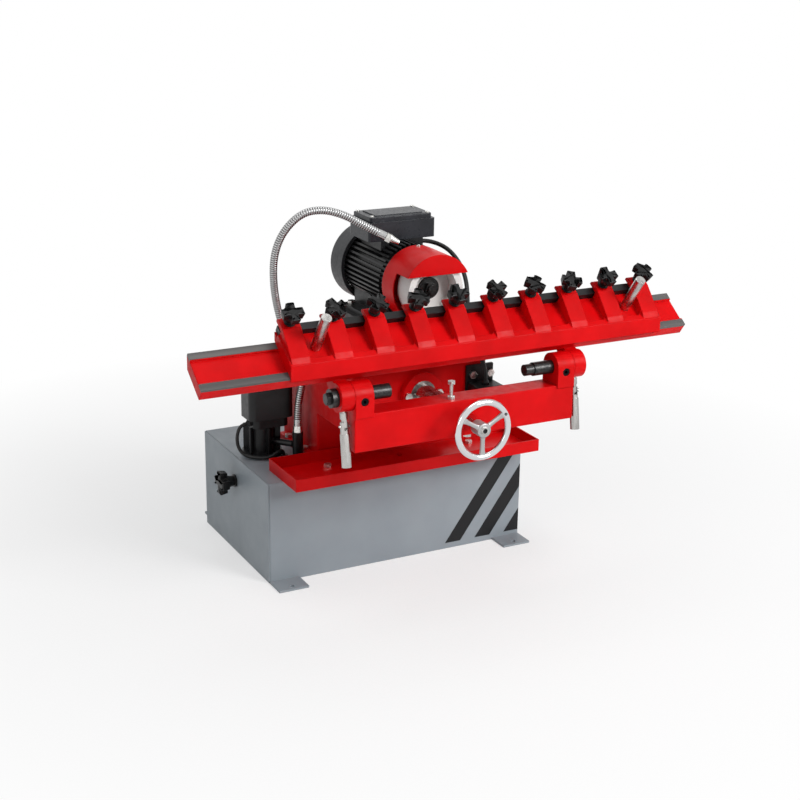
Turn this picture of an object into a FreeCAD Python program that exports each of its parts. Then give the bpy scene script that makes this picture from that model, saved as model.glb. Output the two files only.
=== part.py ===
import FreeCAD, Part
import math
import os
from FreeCAD import Matrix, Placement, Rotation, Vector

# Planer knife grinder: a motor with a cup wheel stands on a column over a coolant cabinet.
# In front of the wheel an inclined guide beam carries the knife carriage along X.
# The frame: X runs along the machine, Y points to its back, Z is up.
# The origin lies on the floor, in the middle of the cabinet.

X = Vector(1, 0, 0)
Y = Vector(0, 1, 0)
Z = Vector(0, 0, 1)

# Clearances and small shared sizes
running_fit = 0.05
slide_fit = 0.05
part_gap = 0.4
hole_clearance = 0.5
overrun = 5.0
edge_break = 1.0

# Cabinet
cabinet_length = 530.0
cabinet_depth = 320.0
cabinet_height = 194.0
cabinet_sheet = 2.5
panel_sheet = 2.2
panel_seam = 0.6
panel_rim = 12.0
panel_rim_inset = 6.0
foot_reach = 46.0
foot_sheet = 4.0
front_foot_width = 58.0
rear_foot_width = 34.0
foot_inset_x = 30.0
foot_hole_radius = 4.5
foot_hole_reach = 34.0
catch_width = 40.0
catch_sheet = 3.0
catch_inset = 8.0
catch_drop = 66.0

# Knob on the side panel
panel_knob_height = 146.0
panel_knob_y = 0.0
panel_knob_reach = 18.0
panel_knob_radius = 24.0
panel_knob_thickness = 15.0
panel_knob_hub_radius = 9.0
panel_stud_radius = 4.0

# Coolant tank inside the cabinet
tank_sheet = 2.0
tank_height = 130.0
tank_side_gap = 14.0
tank_length = 390.0
tank_left_gap = 30.0

# Drip tray
tray_length = 504.0
tray_overhang = 57.0
tray_height = 23.0
tray_sheet = 2.0
tray_centre_x = 17.0
tray_back_gap = 4.0
drain_radius = 8.0
drain_pipe_length = 40.0

# Column
column_width = 270.0
column_front_y = -90.0
column_back_y = 70.0
head_front_y = -235.0
head_floor_z = 288.0
column_top_z = 471.0
column_shoulder_z = 412.0
neck_width = 164.0
neck_front_y = -185.0
neck_back_y = -66.0
column_wall = 9.0
column_foot_reach = 14.0
column_foot_thickness = 12.0
column_foot_inset = 42.0
column_bolt_reach = 8.2
boss_radius = 40.0
boss_proud = 12.0
boss_length = 140.0
boss_bolt_spacing = 62.0

# Infeed: ram, bush, feed nut and feed screw lie on one axis along Y
feed_z = 353.0
ram_radius = 20.0
ram_bore_radius = 10.0
ram_end_y = -152.0
ram_flange_radius = 30.0
ram_flange_thickness = 8.0
bush_wall = 5.0
bush_length = 82.0
key_width = 6.0
key_depth = 3.0
feed_nut_radius = 17.0
feed_nut_length = 26.0
feed_screw_radius = 7.0
feed_screw_end_y = -55.0
thrust_collar_radius = 12.0
thrust_collar_length = 8.0
infeed_back = 12.0

# Front beam with its two brackets
beam_length = 424.0
beam_front_y = -405.0
beam_depth = 44.0
beam_floor_z = 327.0
beam_height = 64.0
beam_wall = 6.0
bracket_width = 34.0
bracket_radius = 24.5
screw_boss_radius = 15.0
screw_boss_proud = 7.0
recess_screw_radius = 5.5
recess_screw_z = 414.0
recess_screw_depth = 6.0
recess_ring = 1.6
lock_bolt_x = 6.0
lock_bolt_y = -395.0

# Tilt pivot
pivot_y = -383.0
pivot_z = 420.0
pivot_radius = 9.0
pivot_inner_x = 123.0
ear_width = 23.5
ear_radius = 24.5
dial_radius = 16.0
dial_thickness = 11.0
pivot_nut_flats = 19.0
pivot_nut_height = 7.0
circlip_radius = 11.5
circlip_thickness = 1.6
collar_radius = 12.0
collar_length = 38.0
knurl_radius = 10.0
knurl_length = 15.0

# Stop bolt on the beam
stop_x = -25.0
stop_y = -391.0
stop_shank_radius = 3.0
stop_height = 32.0
stop_head_flats = 12.0
stop_head_height = 5.0

# Clamp levers, one at each ear
lever_angle = 8.0
lever_stud_radius = 4.0
lever_stud_start = 12.0
lever_hub_start = 26.0
lever_hub_end = 37.0
lever_hub_radius = 6.5
lever_pin_reach = 49.0
lever_tongue = 5.0
lever_tongue_radius = 5.5
lever_pin_radius = 2.0
lever_pin_head_radius = 3.4
lever_pin_head = 2.4
lever_fork_radius = 7.0
lever_fork_length = 13.0
lever_handle_radius = 8.2
lever_handle_length = 56.0
lever_handle_angle = 8.0

# Handwheel
handwheel_radius = 53.5
handwheel_rim_radius = 5.5
handwheel_y = -457.0
handwheel_hub_radius = 12.5
handwheel_hub_front_y = -463.0
handwheel_hub_back_y = -436.0
spoke_count = 3
spoke_width = 11.0
spoke_thickness = 6.0
spoke_taper_share = 0.7
grip_hole_radius = 3.0
grip_boss_radius = 6.5
grip_boss_reach = 46.0
handwheel_screw_radius = 6.0
handwheel_screw_height = 4.0

# Guide beam, in its own frame: u up the slope from its front edge, n square to its top
slope = 36.0
edge_before_pivot_u = 26.0
track_over_pivot_n = 34.6
guide_length = 932.0
guide_width = 75.0
guide_thickness = 24.0
strip_width = 13.0
strip_thickness = 5.0
channel_start_u = 15.0
channel_end_u = 60.0
channel_depth = 4.0
land_depth = 0.6
guide_core_wall = 9.0
guide_core_roof = 8.0
guide_end_wall = 14.0
guide_core_bays = 4
tilt_up = 24.0
tilt_down = 6.0

# Carriage, in the guide beam's frame
carriage_start_x = -316.0
rib_count = 10
rib_pitch = 76.0
rib_width = 33.0
end_margin = 3.0
plate_thickness = 12.0
plate_back_u = 78.6
skirt_u = -6.4
skirt_drop = 3.4
skirt_wall_gap = 0.5
lip_n = 18.8
lip_back_u = 21.0
pocket_radius = 8.0
rib_front_n = 23.5
nose_n = 36.0
nose_front_u = 72.0
nose_end_u = 97.0
nose_radius = 6.0
throat_n = 27.5
throat_u = 75.0
carriage_left_travel = 400.0
carriage_right_travel = 325.0

# Clamp bar and its knobs
bar_start_u = 76.4
bar_width = 14.0
bar_height = 12.0
knob_u = 84.0
knob_stud_radius = 4.0
knob_radius = 20.0
knob_inner_radius = 13.0
knob_lobes = 4
knob_lobe_half_angle = 17.0
knob_hub_base_radius = 9.0
knob_hub_top_radius = 11.0
knob_hub_height = 14.0
knob_head_height = 15.0

# Carriage handles
handle_u = 46.0
handle_radius = 9.0
handle_height = 76.0
handle_spigot_radius = 4.0
handle_spigot_depth = 9.0

# Motor
motor_z = 551.0
motor_front_y = -195.0
motor_back_y = -53.0
motor_core_radius = 55.0
motor_fin_radius = 65.0
motor_bore_radius = 36.0
fin_count = 44
fin_share = 0.42
motor_plate_thickness = 10.0
motor_plate_width = 176.0
motor_plate_front_y = -190.0
motor_plate_back_y = -62.0
foot_inner_x = 34.0
foot_outer_x = 78.0
foot_front_y = -176.0
foot_back_y = -74.0
foot_pad_height = 9.0
foot_bolt_x = 66.0
foot_bolt_inset = 14.0
shield_radius = 60.0
front_shield_thickness = 13.0
rear_shield_thickness = 10.0
bearing_radius = 17.5
bearing_width = 9.0
shaft_radius = 7.5
rotor_radius = 34.5
rotor_inset = 30.0
fan_radius = 56.0
fan_hub_radius = 16.0
fan_disc = 3.0
fan_blades = 8
fan_blade_width = 14.0
cowl_radius = 73.0
cowl_wall = 1.4
cowl_overlap = 6.0
cowl_lip_gap = 1.5
cowl_lug_count = 4
cowl_lug_width = 12.0
cowl_end_y = -9.0
cowl_rings = 5
cowl_ring_pitch = 10.5
cowl_slot_width = 4.5
cowl_spoke_width = 6.0
pad_half_width = 42.0

# Terminal box
terminal_length = 132.0
terminal_front_y = -158.0
terminal_back_y = -78.0
terminal_floor_z = 616.5
terminal_body_height = 34.0
terminal_lid_height = 8.5
terminal_wall = 6.0
terminal_post_radius = 6.0
terminal_corner = 5.0
lid_inset = 4.5
lid_pad_side_inset = 14.5
lid_pad_end_inset = 9.5
lid_pad_height = 1.6

# Cup wheel on its flanges
wheel_radius = 53.0
wheel_front_y = -285.0
wheel_height = 42.0
wheel_back_wall = 12.0
wheel_rim_wall = 12.0
wheel_bore_radius = 10.0
flange_radius = 19.0
flange_thickness = 6.0
wheel_nut_flats = 20.0
wheel_nut_height = 8.0
shaft_tip = 4.0

# Wheel guard
guard_radius = 65.5
guard_sheet = 2.0
guard_back_y = -208.0
guard_step_y = -250.0
guard_front_y = -292.0
guard_hood_rise = 29.5
guard_hole_radius = 24.0
guard_screw_spacing = 50.0
guard_top_screw_y = -219.0

# Switch
bracket_plate_left_x = 92.0
bracket_plate_right_x = 148.0
bracket_plate_floor_z = 338.0
bracket_plate_top_z = 392.0
bracket_plate_thickness = 4.0
bracket_bolt_inset_x = 13.0
bracket_edge_bolt_x = 7.0
bracket_bolt_drop = 18.0
switch_front_y = -277.0
switch_floor_z = 285.0
switch_top_z = 360.0
switch_wall = 2.5
button_radius = 8.0
button_travel = 3.0
button_proud = 6.0
button_ring_radius = 12.0
button_ring_height = 2.0
button_flange = 2.0
button_rise = 16.0

# Coolant pump
pump_x = -211.0
pump_y = -3.0
pump_case_offset = 8.0
pump_case_y = -10.0
pump_foot_radius = 38.0
pump_foot_thickness = 8.0
pump_neck_radius = 25.0
pump_neck_top_z = 254.0
pump_step_width = 70.0
pump_step_depth = 50.0
pump_step_top_z = 270.0
pump_case_width = 88.0
pump_case_depth = 56.0
pump_case_top_z = 384.0
pump_case_corner = 12.0
pump_case_wall = 4.0
pump_rib_count = 6
pump_rib_thickness = 3.0
intake_radius = 14.0
intake_wall = 2.0
intake_end_z = 40.0
intake_window = 8.0
pump_shaft_radius = 4.0
pump_armature_radius = 16.0
impeller_radius = 10.5
impeller_height = 10.0
pump_outlet_radius = 6.0
pump_outlet_z = 222.0

# Coolant valve, hose and nozzle
valve_x = -163.0
valve_y = -61.0
valve_radius = 10.0
valve_height = 54.0
fitting_radius = 9.0
fitting_height = 12.0
fitting_bore_radius = 3.0
hose_radius = 7.0
hose_root_radius = 6.2
hose_bore_radius = 4.5
hose_ribs = 140
hose_end_straight = 13.0
hose_joint_share = 0.7
nozzle_nut_flats = 15.0
nozzle_nut_length = 9.0
nozzle_length = 16.0
nozzle_tip_radius = 4.0

# Cables and glands
motor_cable_radius = 4.0
pump_cable_radius = 3.2
gland_radius = 7.5
gland_flats = 13.0
gland_length = 8.0
motor_gland_x = 55.0
motor_gland_y = -100.0
switch_gland_x = 120.0
switch_gland_y = -260.0
pump_gland_y = -15.0
pump_gland_z = 262.0
floor_grommet_x = -180.0
floor_grommet_y = -36.0
grommet_radius = 7.0
grommet_height = 3.0

# Fasteners
m8_flats = 13.0
m8_head = 5.5
m8_radius = 4.0
m8_length = 12.0
small_screw_radius = 3.6
small_screw_head = 2.2
small_screw_shank = 1.8
small_screw_length = 12.0
lid_screw_inset = 11.0

# Routes of the hose and the cables, point by point
hose_route = [
    Vector(-163, -61, 260),
    Vector(-163, -61, 302),
    Vector(-151, -62, 346),
    Vector(-168, -66, 398),
    Vector(-193, -72, 446),
    Vector(-211, -82, 498),
    Vector(-223, -95, 550),
    Vector(-226, -107, 600),
    Vector(-214, -120, 642),
    Vector(-186, -136, 675),
    Vector(-152, -149, 681),
    Vector(-119, -164, 672),
    Vector(-92, -178, 656),
    Vector(-68, -192, 642.5),
    Vector(-54, -200, 635),
]
motor_cable_route = [
    Vector(55, -100, 616.5),
    Vector(55, -100, 598),
    Vector(86, -106, 596),
    Vector(108, -130, 586),
    Vector(117, -162, 564),
    Vector(112, -195, 540),
    Vector(98, -226, 515),
    Vector(86, -248, 482),
    Vector(91, -257, 445),
    Vector(109, -261, 412),
    Vector(120, -260, 385),
    Vector(120, -260, 359),
]
pump_cable_route = [
    Vector(-238, -15, 262),
    Vector(-257, -15, 262),
    Vector(-266, -15, 242),
    Vector(-264, -13, 217),
    Vector(-254, -20, 201),
    Vector(-236, -38, 199),
    Vector(-214, -49, 200),
    Vector(-198, -46, 208),
    Vector(-180, -36, 206),
    Vector(-180, -36, 188),
]



def box(x0, x1, y0, y1, z0, z1):
    return Part.makeBox(x1 - x0, y1 - y0, z1 - z0, Vector(x0, y0, z0))


def rod(radius, start, end):
    return Part.makeCylinder(radius, (end - start).Length, start, end - start)


def ring(outer, inner, start, end):
    reach = (end - start).normalize() * overrun
    return rod(outer, start, end).cut(rod(inner, start - reach, end + reach))


def cone(radius_start, radius_end, start, end):
    return Part.makeCone(radius_start, radius_end, (end - start).Length, start, end - start)


def aimed(shape, start, direction):
    # a shape that is built along Z from the origin, moved to start and turned along direction
    placed = shape.copy()
    placed.Placement = Placement(start, Rotation(Z, direction)).multiply(placed.Placement)
    return placed


def outline_face(points):
    wire = Part.makePolygon(points + [points[0]])
    return Part.Face(wire)


def side_prism(points, x0, x1):
    # an outline of (y, z) points, drawn out along X
    face = outline_face([Vector(x0, y, z) for y, z in points])
    return face.extrude(Vector(x1 - x0, 0, 0))


def hexagon(flats, height):
    corner = flats / math.sqrt(3)
    points = []
    for step in range(6):
        turn = math.radians(60 * step)
        points.append(Vector(corner * math.cos(turn), corner * math.sin(turn), 0))
    return outline_face(points).extrude(Vector(0, 0, height))


def hex_bolt(flats, head, radius, length, seat, outward):
    # the head stands on the seat, the shank goes the other way
    bolt = hexagon(flats, head).fuse(rod(radius, Vector(0, 0, 0), Vector(0, 0, -length)))
    return aimed(bolt.removeSplitter(), seat, outward)


def round_screw(seat, outward):
    head = rod(small_screw_radius, Vector(0, 0, 0), Vector(0, 0, small_screw_head))
    slot_depth = small_screw_head / 2
    slot_half = small_screw_head / 4
    slot = box(-small_screw_radius, small_screw_radius, -slot_half, slot_half, slot_depth, small_screw_head)
    shank = rod(small_screw_shank, Vector(0, 0, 0), Vector(0, 0, -small_screw_length))
    return aimed(head.cut(slot).fuse(shank), seat, outward)


def round_edges(shape, radius, direction):
    # round the edges that run along one direction
    chosen = []
    for edge in shape.Edges:
        if isinstance(edge.Curve, Part.Line) and abs(edge.Curve.Direction.dot(direction)) > 0.999:
            chosen.append(edge)
    return shape.makeFillet(radius, chosen)


def union(shapes):
    whole = shapes[0]
    for other in shapes[1:]:
        whole = whole.fuse(other)
    return whole.removeSplitter()


def save(name, *solids):
    shape = solids[0] if len(solids) == 1 else Part.makeCompound(list(solids))
    shape.exportStep("parts/" + name + ".step")


# Places worked out from the sizes

cabinet_left = -cabinet_length / 2
cabinet_right = cabinet_length / 2
foot_spacing_x = cabinet_length - 2 * foot_inset_x
cabinet_front = -cabinet_depth / 2
cabinet_back = cabinet_depth / 2
tray_left = tray_centre_x - tray_length / 2
tray_right = tray_centre_x + tray_length / 2
tray_front_y = cabinet_front - tray_overhang
tray_back_y = column_front_y - tray_back_gap
tray_bolt_y = (tray_back_y + cabinet_front) / 2
tray_bolt_x = [tray_centre_x - 0.297 * tray_length, tray_centre_x + 0.297 * tray_length]
column_left = -column_width / 2
column_right = column_width / 2
boss_front_y = head_front_y - boss_proud
beam_back_y = beam_front_y + beam_depth
beam_top_z = beam_floor_z + beam_height
beam_half = beam_length / 2
bracket_inner_x = beam_half - bracket_width
ear_inner_x = beam_half + part_gap
ear_outer_x = ear_inner_x + ear_width
ear_middle_x = (ear_inner_x + ear_outer_x) / 2
pivot_centre = Vector(0, pivot_y, pivot_z)
feed_axis = Vector(0, 0, feed_z)
motor_axis = Vector(0, 0, motor_z)
motor_foot_z = column_top_z + motor_plate_thickness
wheel_back_y = wheel_front_y + wheel_height
pump_case_x = pump_x + pump_case_offset
carriage_length = (rib_count - 1) * rib_pitch + rib_width + 2 * end_margin
carriage_end_x = carriage_start_x + carriage_length
rib_centres = [carriage_start_x + end_margin + rib_width / 2 + rib_pitch * i for i in range(rib_count)]
slope_turn = Rotation(X, slope)
track_origin = pivot_centre + slope_turn.multVec(Vector(0, edge_before_pivot_u, track_over_pivot_n))


def on_axis(axis, y):
    return Vector(axis.x, y, axis.z)


def on_track(shape):
    # from the guide beam's own frame (x, u, n) to the machine's
    placed = shape.copy()
    placed.Placement = Placement(track_origin, slope_turn).multiply(placed.Placement)
    return placed


# The run-and-arc line that a tube follows

def route_pieces(points):
    pieces = []
    start = points[0]
    for here, corner, ahead in zip(points, points[1:], points[2:]):
        before = (corner - here).normalize()
        after = (ahead - corner).normalize()
        turn = math.acos(max(-1.0, min(1.0, before.dot(after))))
        reach = 0.45 * min((corner - here).Length, (ahead - corner).Length)
        radius = reach / math.tan(turn / 2)
        arc_start = corner - before * reach
        arc_end = corner + after * reach
        inward = (after - before).normalize()
        centre = corner + inward * math.hypot(radius, reach)
        arc_middle = centre - inward * radius
        pieces.append(("run", start, arc_start, 0.0))
        pieces.append(("arc", arc_start, arc_end, radius, arc_middle, centre))
        start = arc_end
    pieces.append(("run", start, points[-1], 0.0))
    return pieces


def route_radii(points):
    return [piece[3] for piece in route_pieces(points) if piece[0] == "arc"]


def route_wire(points):
    edges = []
    for piece in route_pieces(points):
        if piece[0] == "run":
            edges.append(Part.LineSegment(piece[1], piece[2]).toShape())
        else:
            edges.append(Part.Arc(piece[1], piece[4], piece[2]).toShape())
    return Part.Wire(edges)


def route_tube(name, points, radius):
    path = route_wire(points)
    profile = Part.Wire(Part.makeCircle(radius, points[0], points[1] - points[0]))
    tube = path.makePipeShell([profile], True, False)
    volume_ratio = tube.Volume / (math.pi * radius ** 2 * path.Length)
    radii = route_radii(points)
    print(name, "length", round(path.Length, 1), "volume ratio", round(volume_ratio, 4))
    print(name, "least radius", round(min(radii), 1), "in diameters", round(min(radii) / (2 * radius), 2))
    return tube


def route_stations(points, distances):
    # places and directions along the line, at the given distances from its start
    path = route_wire(points)
    stations = []
    edges = path.OrderedEdges
    walked = 0.0
    index = 0
    for distance in distances:
        while distance > walked + edges[index].Length and index < len(edges) - 1:
            walked += edges[index].Length
            index += 1
        edge = edges[index]
        along = min(edge.Length, max(0.0, distance - walked))
        parameter = edge.getParameterByLength(along)
        stations.append((edge.valueAt(parameter), edge.tangentAt(parameter)))
    return stations


def route_circle(place, direction, radius):
    # the circle's own X axis stays near the machine's Y, so that the rings don't twist
    steady = (Y - direction * Y.dot(direction)).normalize()
    turn = Rotation(steady, direction.cross(steady), direction, "XYZ")
    circle = Part.makeCircle(radius)
    circle.Placement = Placement(place, turn)
    return Part.Wire(circle)


def ring_loft(points, marks):
    # one ruled loft through circles, in two stretches that each turn by less than a right angle
    stations = route_stations(points, [mark[0] for mark in marks])
    rings = [route_circle(place, direction, mark[1]) for (place, direction), mark in zip(stations, marks)]
    joint = int(len(rings) * hose_joint_share)
    lower = Part.makeLoft(rings[: joint + 1], True, True)
    upper = Part.makeLoft(rings[joint:], True, True)
    return lower.fuse(upper)


# Cabinet with its side panel, knob, tank and tray

def cabinet():
    edge_left = cabinet_left + panel_sheet + panel_seam / 2
    shell = box(edge_left, cabinet_right, cabinet_front, cabinet_back, 0, cabinet_height)
    inner = box(
        cabinet_left - overrun,
        cabinet_right - cabinet_sheet,
        cabinet_front + cabinet_sheet,
        cabinet_back - cabinet_sheet,
        cabinet_sheet,
        cabinet_height - cabinet_sheet,
    )
    solids = [shell.cut(inner)]
    for side in (-1, 1):
        middle = side * foot_spacing_x / 2
        for width, front in ((front_foot_width, cabinet_front - foot_reach), (rear_foot_width, cabinet_back)):
            solids.append(box(middle - width / 2, middle + width / 2, front, front + foot_reach, 0, foot_sheet))
    catch_x = cabinet_left + panel_sheet + panel_rim + catch_inset
    catch_floor = cabinet_height - catch_drop
    solids.append(box(catch_x, catch_x + catch_sheet, -catch_width / 2, catch_width / 2, catch_floor, cabinet_height))
    whole = union(solids)
    for side in (-1, 1):
        for y in foot_hole_places():
            whole = whole.cut(hole(side * foot_spacing_x / 2, y, 0, foot_sheet, foot_hole_radius))
    top_floor = cabinet_height - cabinet_sheet
    for x in tray_bolt_x:
        whole = whole.cut(hole(x, tray_bolt_y, top_floor, cabinet_height, m8_radius + hole_clearance))
    for x, y in column_bolt_places():
        whole = whole.cut(hole(x, y, top_floor, cabinet_height, m8_radius + hole_clearance))
    whole = whole.cut(hole(pump_x, pump_y, top_floor, cabinet_height, intake_radius + hole_clearance))
    whole = whole.cut(hole(drain_x(), tray_bolt_y, top_floor, cabinet_height, drain_radius + hole_clearance))
    whole = whole.cut(hole(floor_grommet_x, floor_grommet_y, top_floor, cabinet_height, pump_cable_radius + hole_clearance))
    knob_line = Vector(catch_x - overrun, panel_knob_y, panel_knob_height)
    knob_end = knob_line + X * (catch_sheet + 2 * overrun)
    return whole.cut(rod(panel_stud_radius + running_fit, knob_line, knob_end))


def hole(x, y, z0, z1, radius):
    return rod(radius, Vector(x, y, z0 - overrun), Vector(x, y, z1 + overrun))


def foot_hole_places():
    return [cabinet_front - foot_hole_reach, cabinet_back + foot_hole_reach]


def drain_x():
    return tray_centre_x


def column_bolt_places():
    places = []
    for side in (-1, 1):
        for y in (column_front_y + column_foot_inset, column_back_y - column_foot_inset):
            places.append((side * (column_width / 2 + column_bolt_reach), y))
    return places


def side_panel():
    outer_x = cabinet_left
    inner_x = cabinet_left + panel_sheet
    half = cabinet_depth / 2 - panel_seam
    plate = box(outer_x, inner_x, -half, half, panel_seam, cabinet_height - panel_seam)
    rim_half = cabinet_depth / 2 - panel_rim_inset
    rim_top = cabinet_height - panel_rim_inset
    rim = box(outer_x, inner_x + panel_rim, -rim_half, rim_half, panel_rim_inset, rim_top)
    rim_core = box(
        outer_x - overrun,
        inner_x + panel_rim + overrun,
        -rim_half + panel_sheet,
        rim_half - panel_sheet,
        panel_rim_inset + panel_sheet,
        rim_top - panel_sheet,
    )
    panel = union([plate, rim.cut(rim_core)])
    stud_line = Vector(outer_x - overrun, panel_knob_y, panel_knob_height)
    return panel.cut(rod(panel_stud_radius + hole_clearance, stud_line, stud_line + X * (panel_sheet + 2 * overrun)))


def lobed_knob(outer, inner, lobes, height):
    # a star of round lobes with hollow flanks, drawn up from the origin along Z
    edges = []
    spread = math.radians(knob_lobe_half_angle)
    step = 2 * math.pi / lobes

    def at(radius, turn):
        return Vector(radius * math.cos(turn), radius * math.sin(turn), 0)

    for lobe in range(lobes):
        turn = step * (lobe + 0.5)
        edges.append(Part.Arc(at(outer, turn - spread), at(outer, turn), at(outer, turn + spread)).toShape())
        flank_start = at(outer, turn + spread)
        flank_end = at(outer, turn + step - spread)
        edges.append(Part.Arc(flank_start, at(inner, turn + step / 2), flank_end).toShape())
    star = Part.Face(Part.Wire(edges)).extrude(Vector(0, 0, height))
    rims = [edge for edge in star.Edges if abs(edge.BoundBox.ZLength) < edge_break / 2]
    return star.makeChamfer(edge_break, rims)


def panel_knob():
    # head, neck and stud on one axis, built along Z from the panel's face
    head = lobed_knob(panel_knob_radius, panel_knob_hub_radius * 1.6, knob_lobes, panel_knob_thickness)
    head.translate(Vector(0, 0, panel_knob_reach))
    neck = rod(panel_knob_hub_radius, Vector(0, 0, part_gap), Vector(0, 0, panel_knob_reach))
    depth = panel_sheet + panel_rim + catch_inset + catch_sheet + overrun
    stud = rod(panel_stud_radius, Vector(0, 0, -depth), Vector(0, 0, part_gap))
    seat = Vector(cabinet_left, panel_knob_y, panel_knob_height)
    return [aimed(union([head, neck]), seat, -X), aimed(stud, seat, -X)]


def coolant_tank():
    x0 = cabinet_left + tank_left_gap
    x1 = x0 + tank_length
    half = cabinet_depth / 2 - tank_side_gap
    outer = box(x0, x1, -half, half, cabinet_sheet, cabinet_sheet + tank_height)
    inner = box(
        x0 + tank_sheet,
        x1 - tank_sheet,
        -half + tank_sheet,
        half - tank_sheet,
        cabinet_sheet + tank_sheet,
        cabinet_sheet + tank_height + overrun,
    )
    return outer.cut(inner)


def drip_tray():
    floor_z = cabinet_height
    outer = box(tray_left, tray_right, tray_front_y, tray_back_y, floor_z, floor_z + tray_height)
    inner = box(
        tray_left + tray_sheet,
        tray_right - tray_sheet,
        tray_front_y + tray_sheet,
        tray_back_y - tray_sheet,
        floor_z + tray_sheet,
        floor_z + tray_height + overrun,
    )
    tray = outer.cut(inner)
    pipe_top = Vector(drain_x(), tray_bolt_y, floor_z + tray_sheet)
    pipe_end = pipe_top - Z * drain_pipe_length
    tray = tray.fuse(rod(drain_radius, pipe_end, pipe_top))
    tray = tray.cut(rod(drain_radius - tray_sheet, pipe_end - Z * overrun, pipe_top + Z * overrun))
    for x in tray_bolt_x:
        tray = tray.cut(hole(x, tray_bolt_y, floor_z, floor_z + tray_sheet, m8_radius + hole_clearance))
    return tray


# Column that carries the motor and guides the ram

def column():
    outline = [
        (column_front_y, cabinet_height),
        (column_front_y, head_floor_z),
        (head_front_y, head_floor_z),
        (head_front_y, column_shoulder_z),
        (column_back_y, column_shoulder_z),
        (column_back_y, cabinet_height),
    ]
    core = [
        (column_front_y + column_wall, cabinet_height - overrun),
        (column_front_y + column_wall, head_floor_z + column_wall),
        (head_front_y + column_wall, head_floor_z + column_wall),
        (head_front_y + column_wall, column_shoulder_z - column_wall),
        (column_back_y - column_wall, column_shoulder_z - column_wall),
        (column_back_y - column_wall, cabinet_height - overrun),
    ]
    shell = side_prism(outline, column_left, column_right)
    shell = round_edges(shell, column_wall / 3, Z)
    shell = shell.cut(side_prism(core, column_left + column_wall, column_right - column_wall))
    neck_half = neck_width / 2
    ceiling_z = column_shoulder_z - column_wall
    neck = box(-neck_half, neck_half, neck_front_y, neck_back_y, ceiling_z, column_top_z)
    neck = round_edges(neck, column_wall / 3, Z)
    neck_core = box(
        column_wall - neck_half,
        neck_half - column_wall,
        neck_front_y + column_wall,
        neck_back_y - column_wall,
        ceiling_z - overrun,
        column_top_z - column_wall,
    )
    solids = [shell.fuse(neck).cut(neck_core)]
    foot_top = cabinet_height + column_foot_thickness
    for side in (-1, 1):
        x0 = side * (column_width / 2 - column_wall)
        x1 = side * (column_width / 2 + column_foot_reach)
        y0 = column_front_y + column_wall
        y1 = column_back_y - column_wall
        solids.append(box(min(x0, x1), max(x0, x1), y0, y1, cabinet_height, foot_top))
    boss_end_y = boss_front_y + boss_length
    solids.append(rod(boss_radius, on_axis(feed_axis, boss_front_y), on_axis(feed_axis, boss_end_y)))
    whole = union(solids)
    bush_radius = ram_radius + running_fit + bush_wall
    nut_start_y = boss_end_y - feed_nut_length
    whole = whole.cut(rod(bush_radius, on_axis(feed_axis, boss_front_y - overrun), on_axis(feed_axis, nut_start_y)))
    whole = whole.cut(rod(feed_nut_radius, on_axis(feed_axis, nut_start_y), on_axis(feed_axis, boss_end_y + overrun)))
    for x, y in column_bolt_places():
        whole = whole.cut(hole(x, y, cabinet_height, foot_top, m8_radius + hole_clearance))
    for x in (-boss_bolt_spacing / 2, boss_bolt_spacing / 2):
        start = Vector(x, boss_front_y - overrun, feed_z)
        whole = whole.cut(rod(m8_radius + hole_clearance, start, start + Y * (overrun + m8_length + edge_break)))
    for x, y in motor_bolt_places():
        whole = whole.cut(hole(x, y, column_top_z - column_wall, column_top_z, m8_radius + hole_clearance))
    for x, z in bracket_bolt_places()[:1]:
        start = Vector(x, head_front_y - overrun, z)
        whole = whole.cut(rod(m8_radius + hole_clearance, start, start + Y * (column_wall + 2 * overrun)))
    return whole


def motor_bolt_places():
    places = []
    for x in (-foot_bolt_x, foot_bolt_x):
        for y in (foot_front_y + foot_bolt_inset, foot_back_y - foot_bolt_inset):
            places.append((x, y))
    return places


def bracket_bolt_places():
    z = bracket_plate_top_z - bracket_bolt_drop
    return [(bracket_plate_left_x + bracket_bolt_inset_x, z), (bracket_plate_right_x - bracket_edge_bolt_x, z)]


def ram_bush():
    start = on_axis(feed_axis, boss_front_y)
    end = on_axis(feed_axis, boss_front_y + bush_length)
    bush = ring(ram_radius + running_fit + bush_wall, ram_radius + running_fit, start, end)
    key_floor = feed_z - ram_radius - bush_wall / 2
    key_top = feed_z - ram_radius + key_depth
    key = box(-key_width / 2, key_width / 2, start.y, end.y, key_floor, key_top)
    bush = bush.fuse(key).removeSplitter()
    nut_start = on_axis(feed_axis, boss_front_y + boss_length - feed_nut_length)
    nut_end = on_axis(feed_axis, boss_front_y + boss_length)
    nut = ring(feed_nut_radius, feed_screw_radius + running_fit, nut_start, nut_end)
    return [bush, nut]


# Infeed saddle: ram, front beam, pivots, stop bolt

def ram():
    start = on_axis(feed_axis, beam_back_y)
    end = on_axis(feed_axis, ram_end_y)
    flange = rod(ram_flange_radius, start, start + Y * ram_flange_thickness)
    solid = rod(ram_radius, start, end).fuse(flange)
    solid = solid.cut(rod(ram_bore_radius, start - Y * overrun, end + Y * overrun))
    half = key_width / 2 + part_gap / 2
    groove_top = feed_z - ram_radius + key_depth + part_gap
    groove_floor = feed_z - ram_radius - overrun
    groove_start = boss_front_y - infeed_back - edge_break
    groove = box(-half, half, groove_start, ram_end_y + overrun, groove_floor, groove_top)
    return solid.cut(groove)


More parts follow.
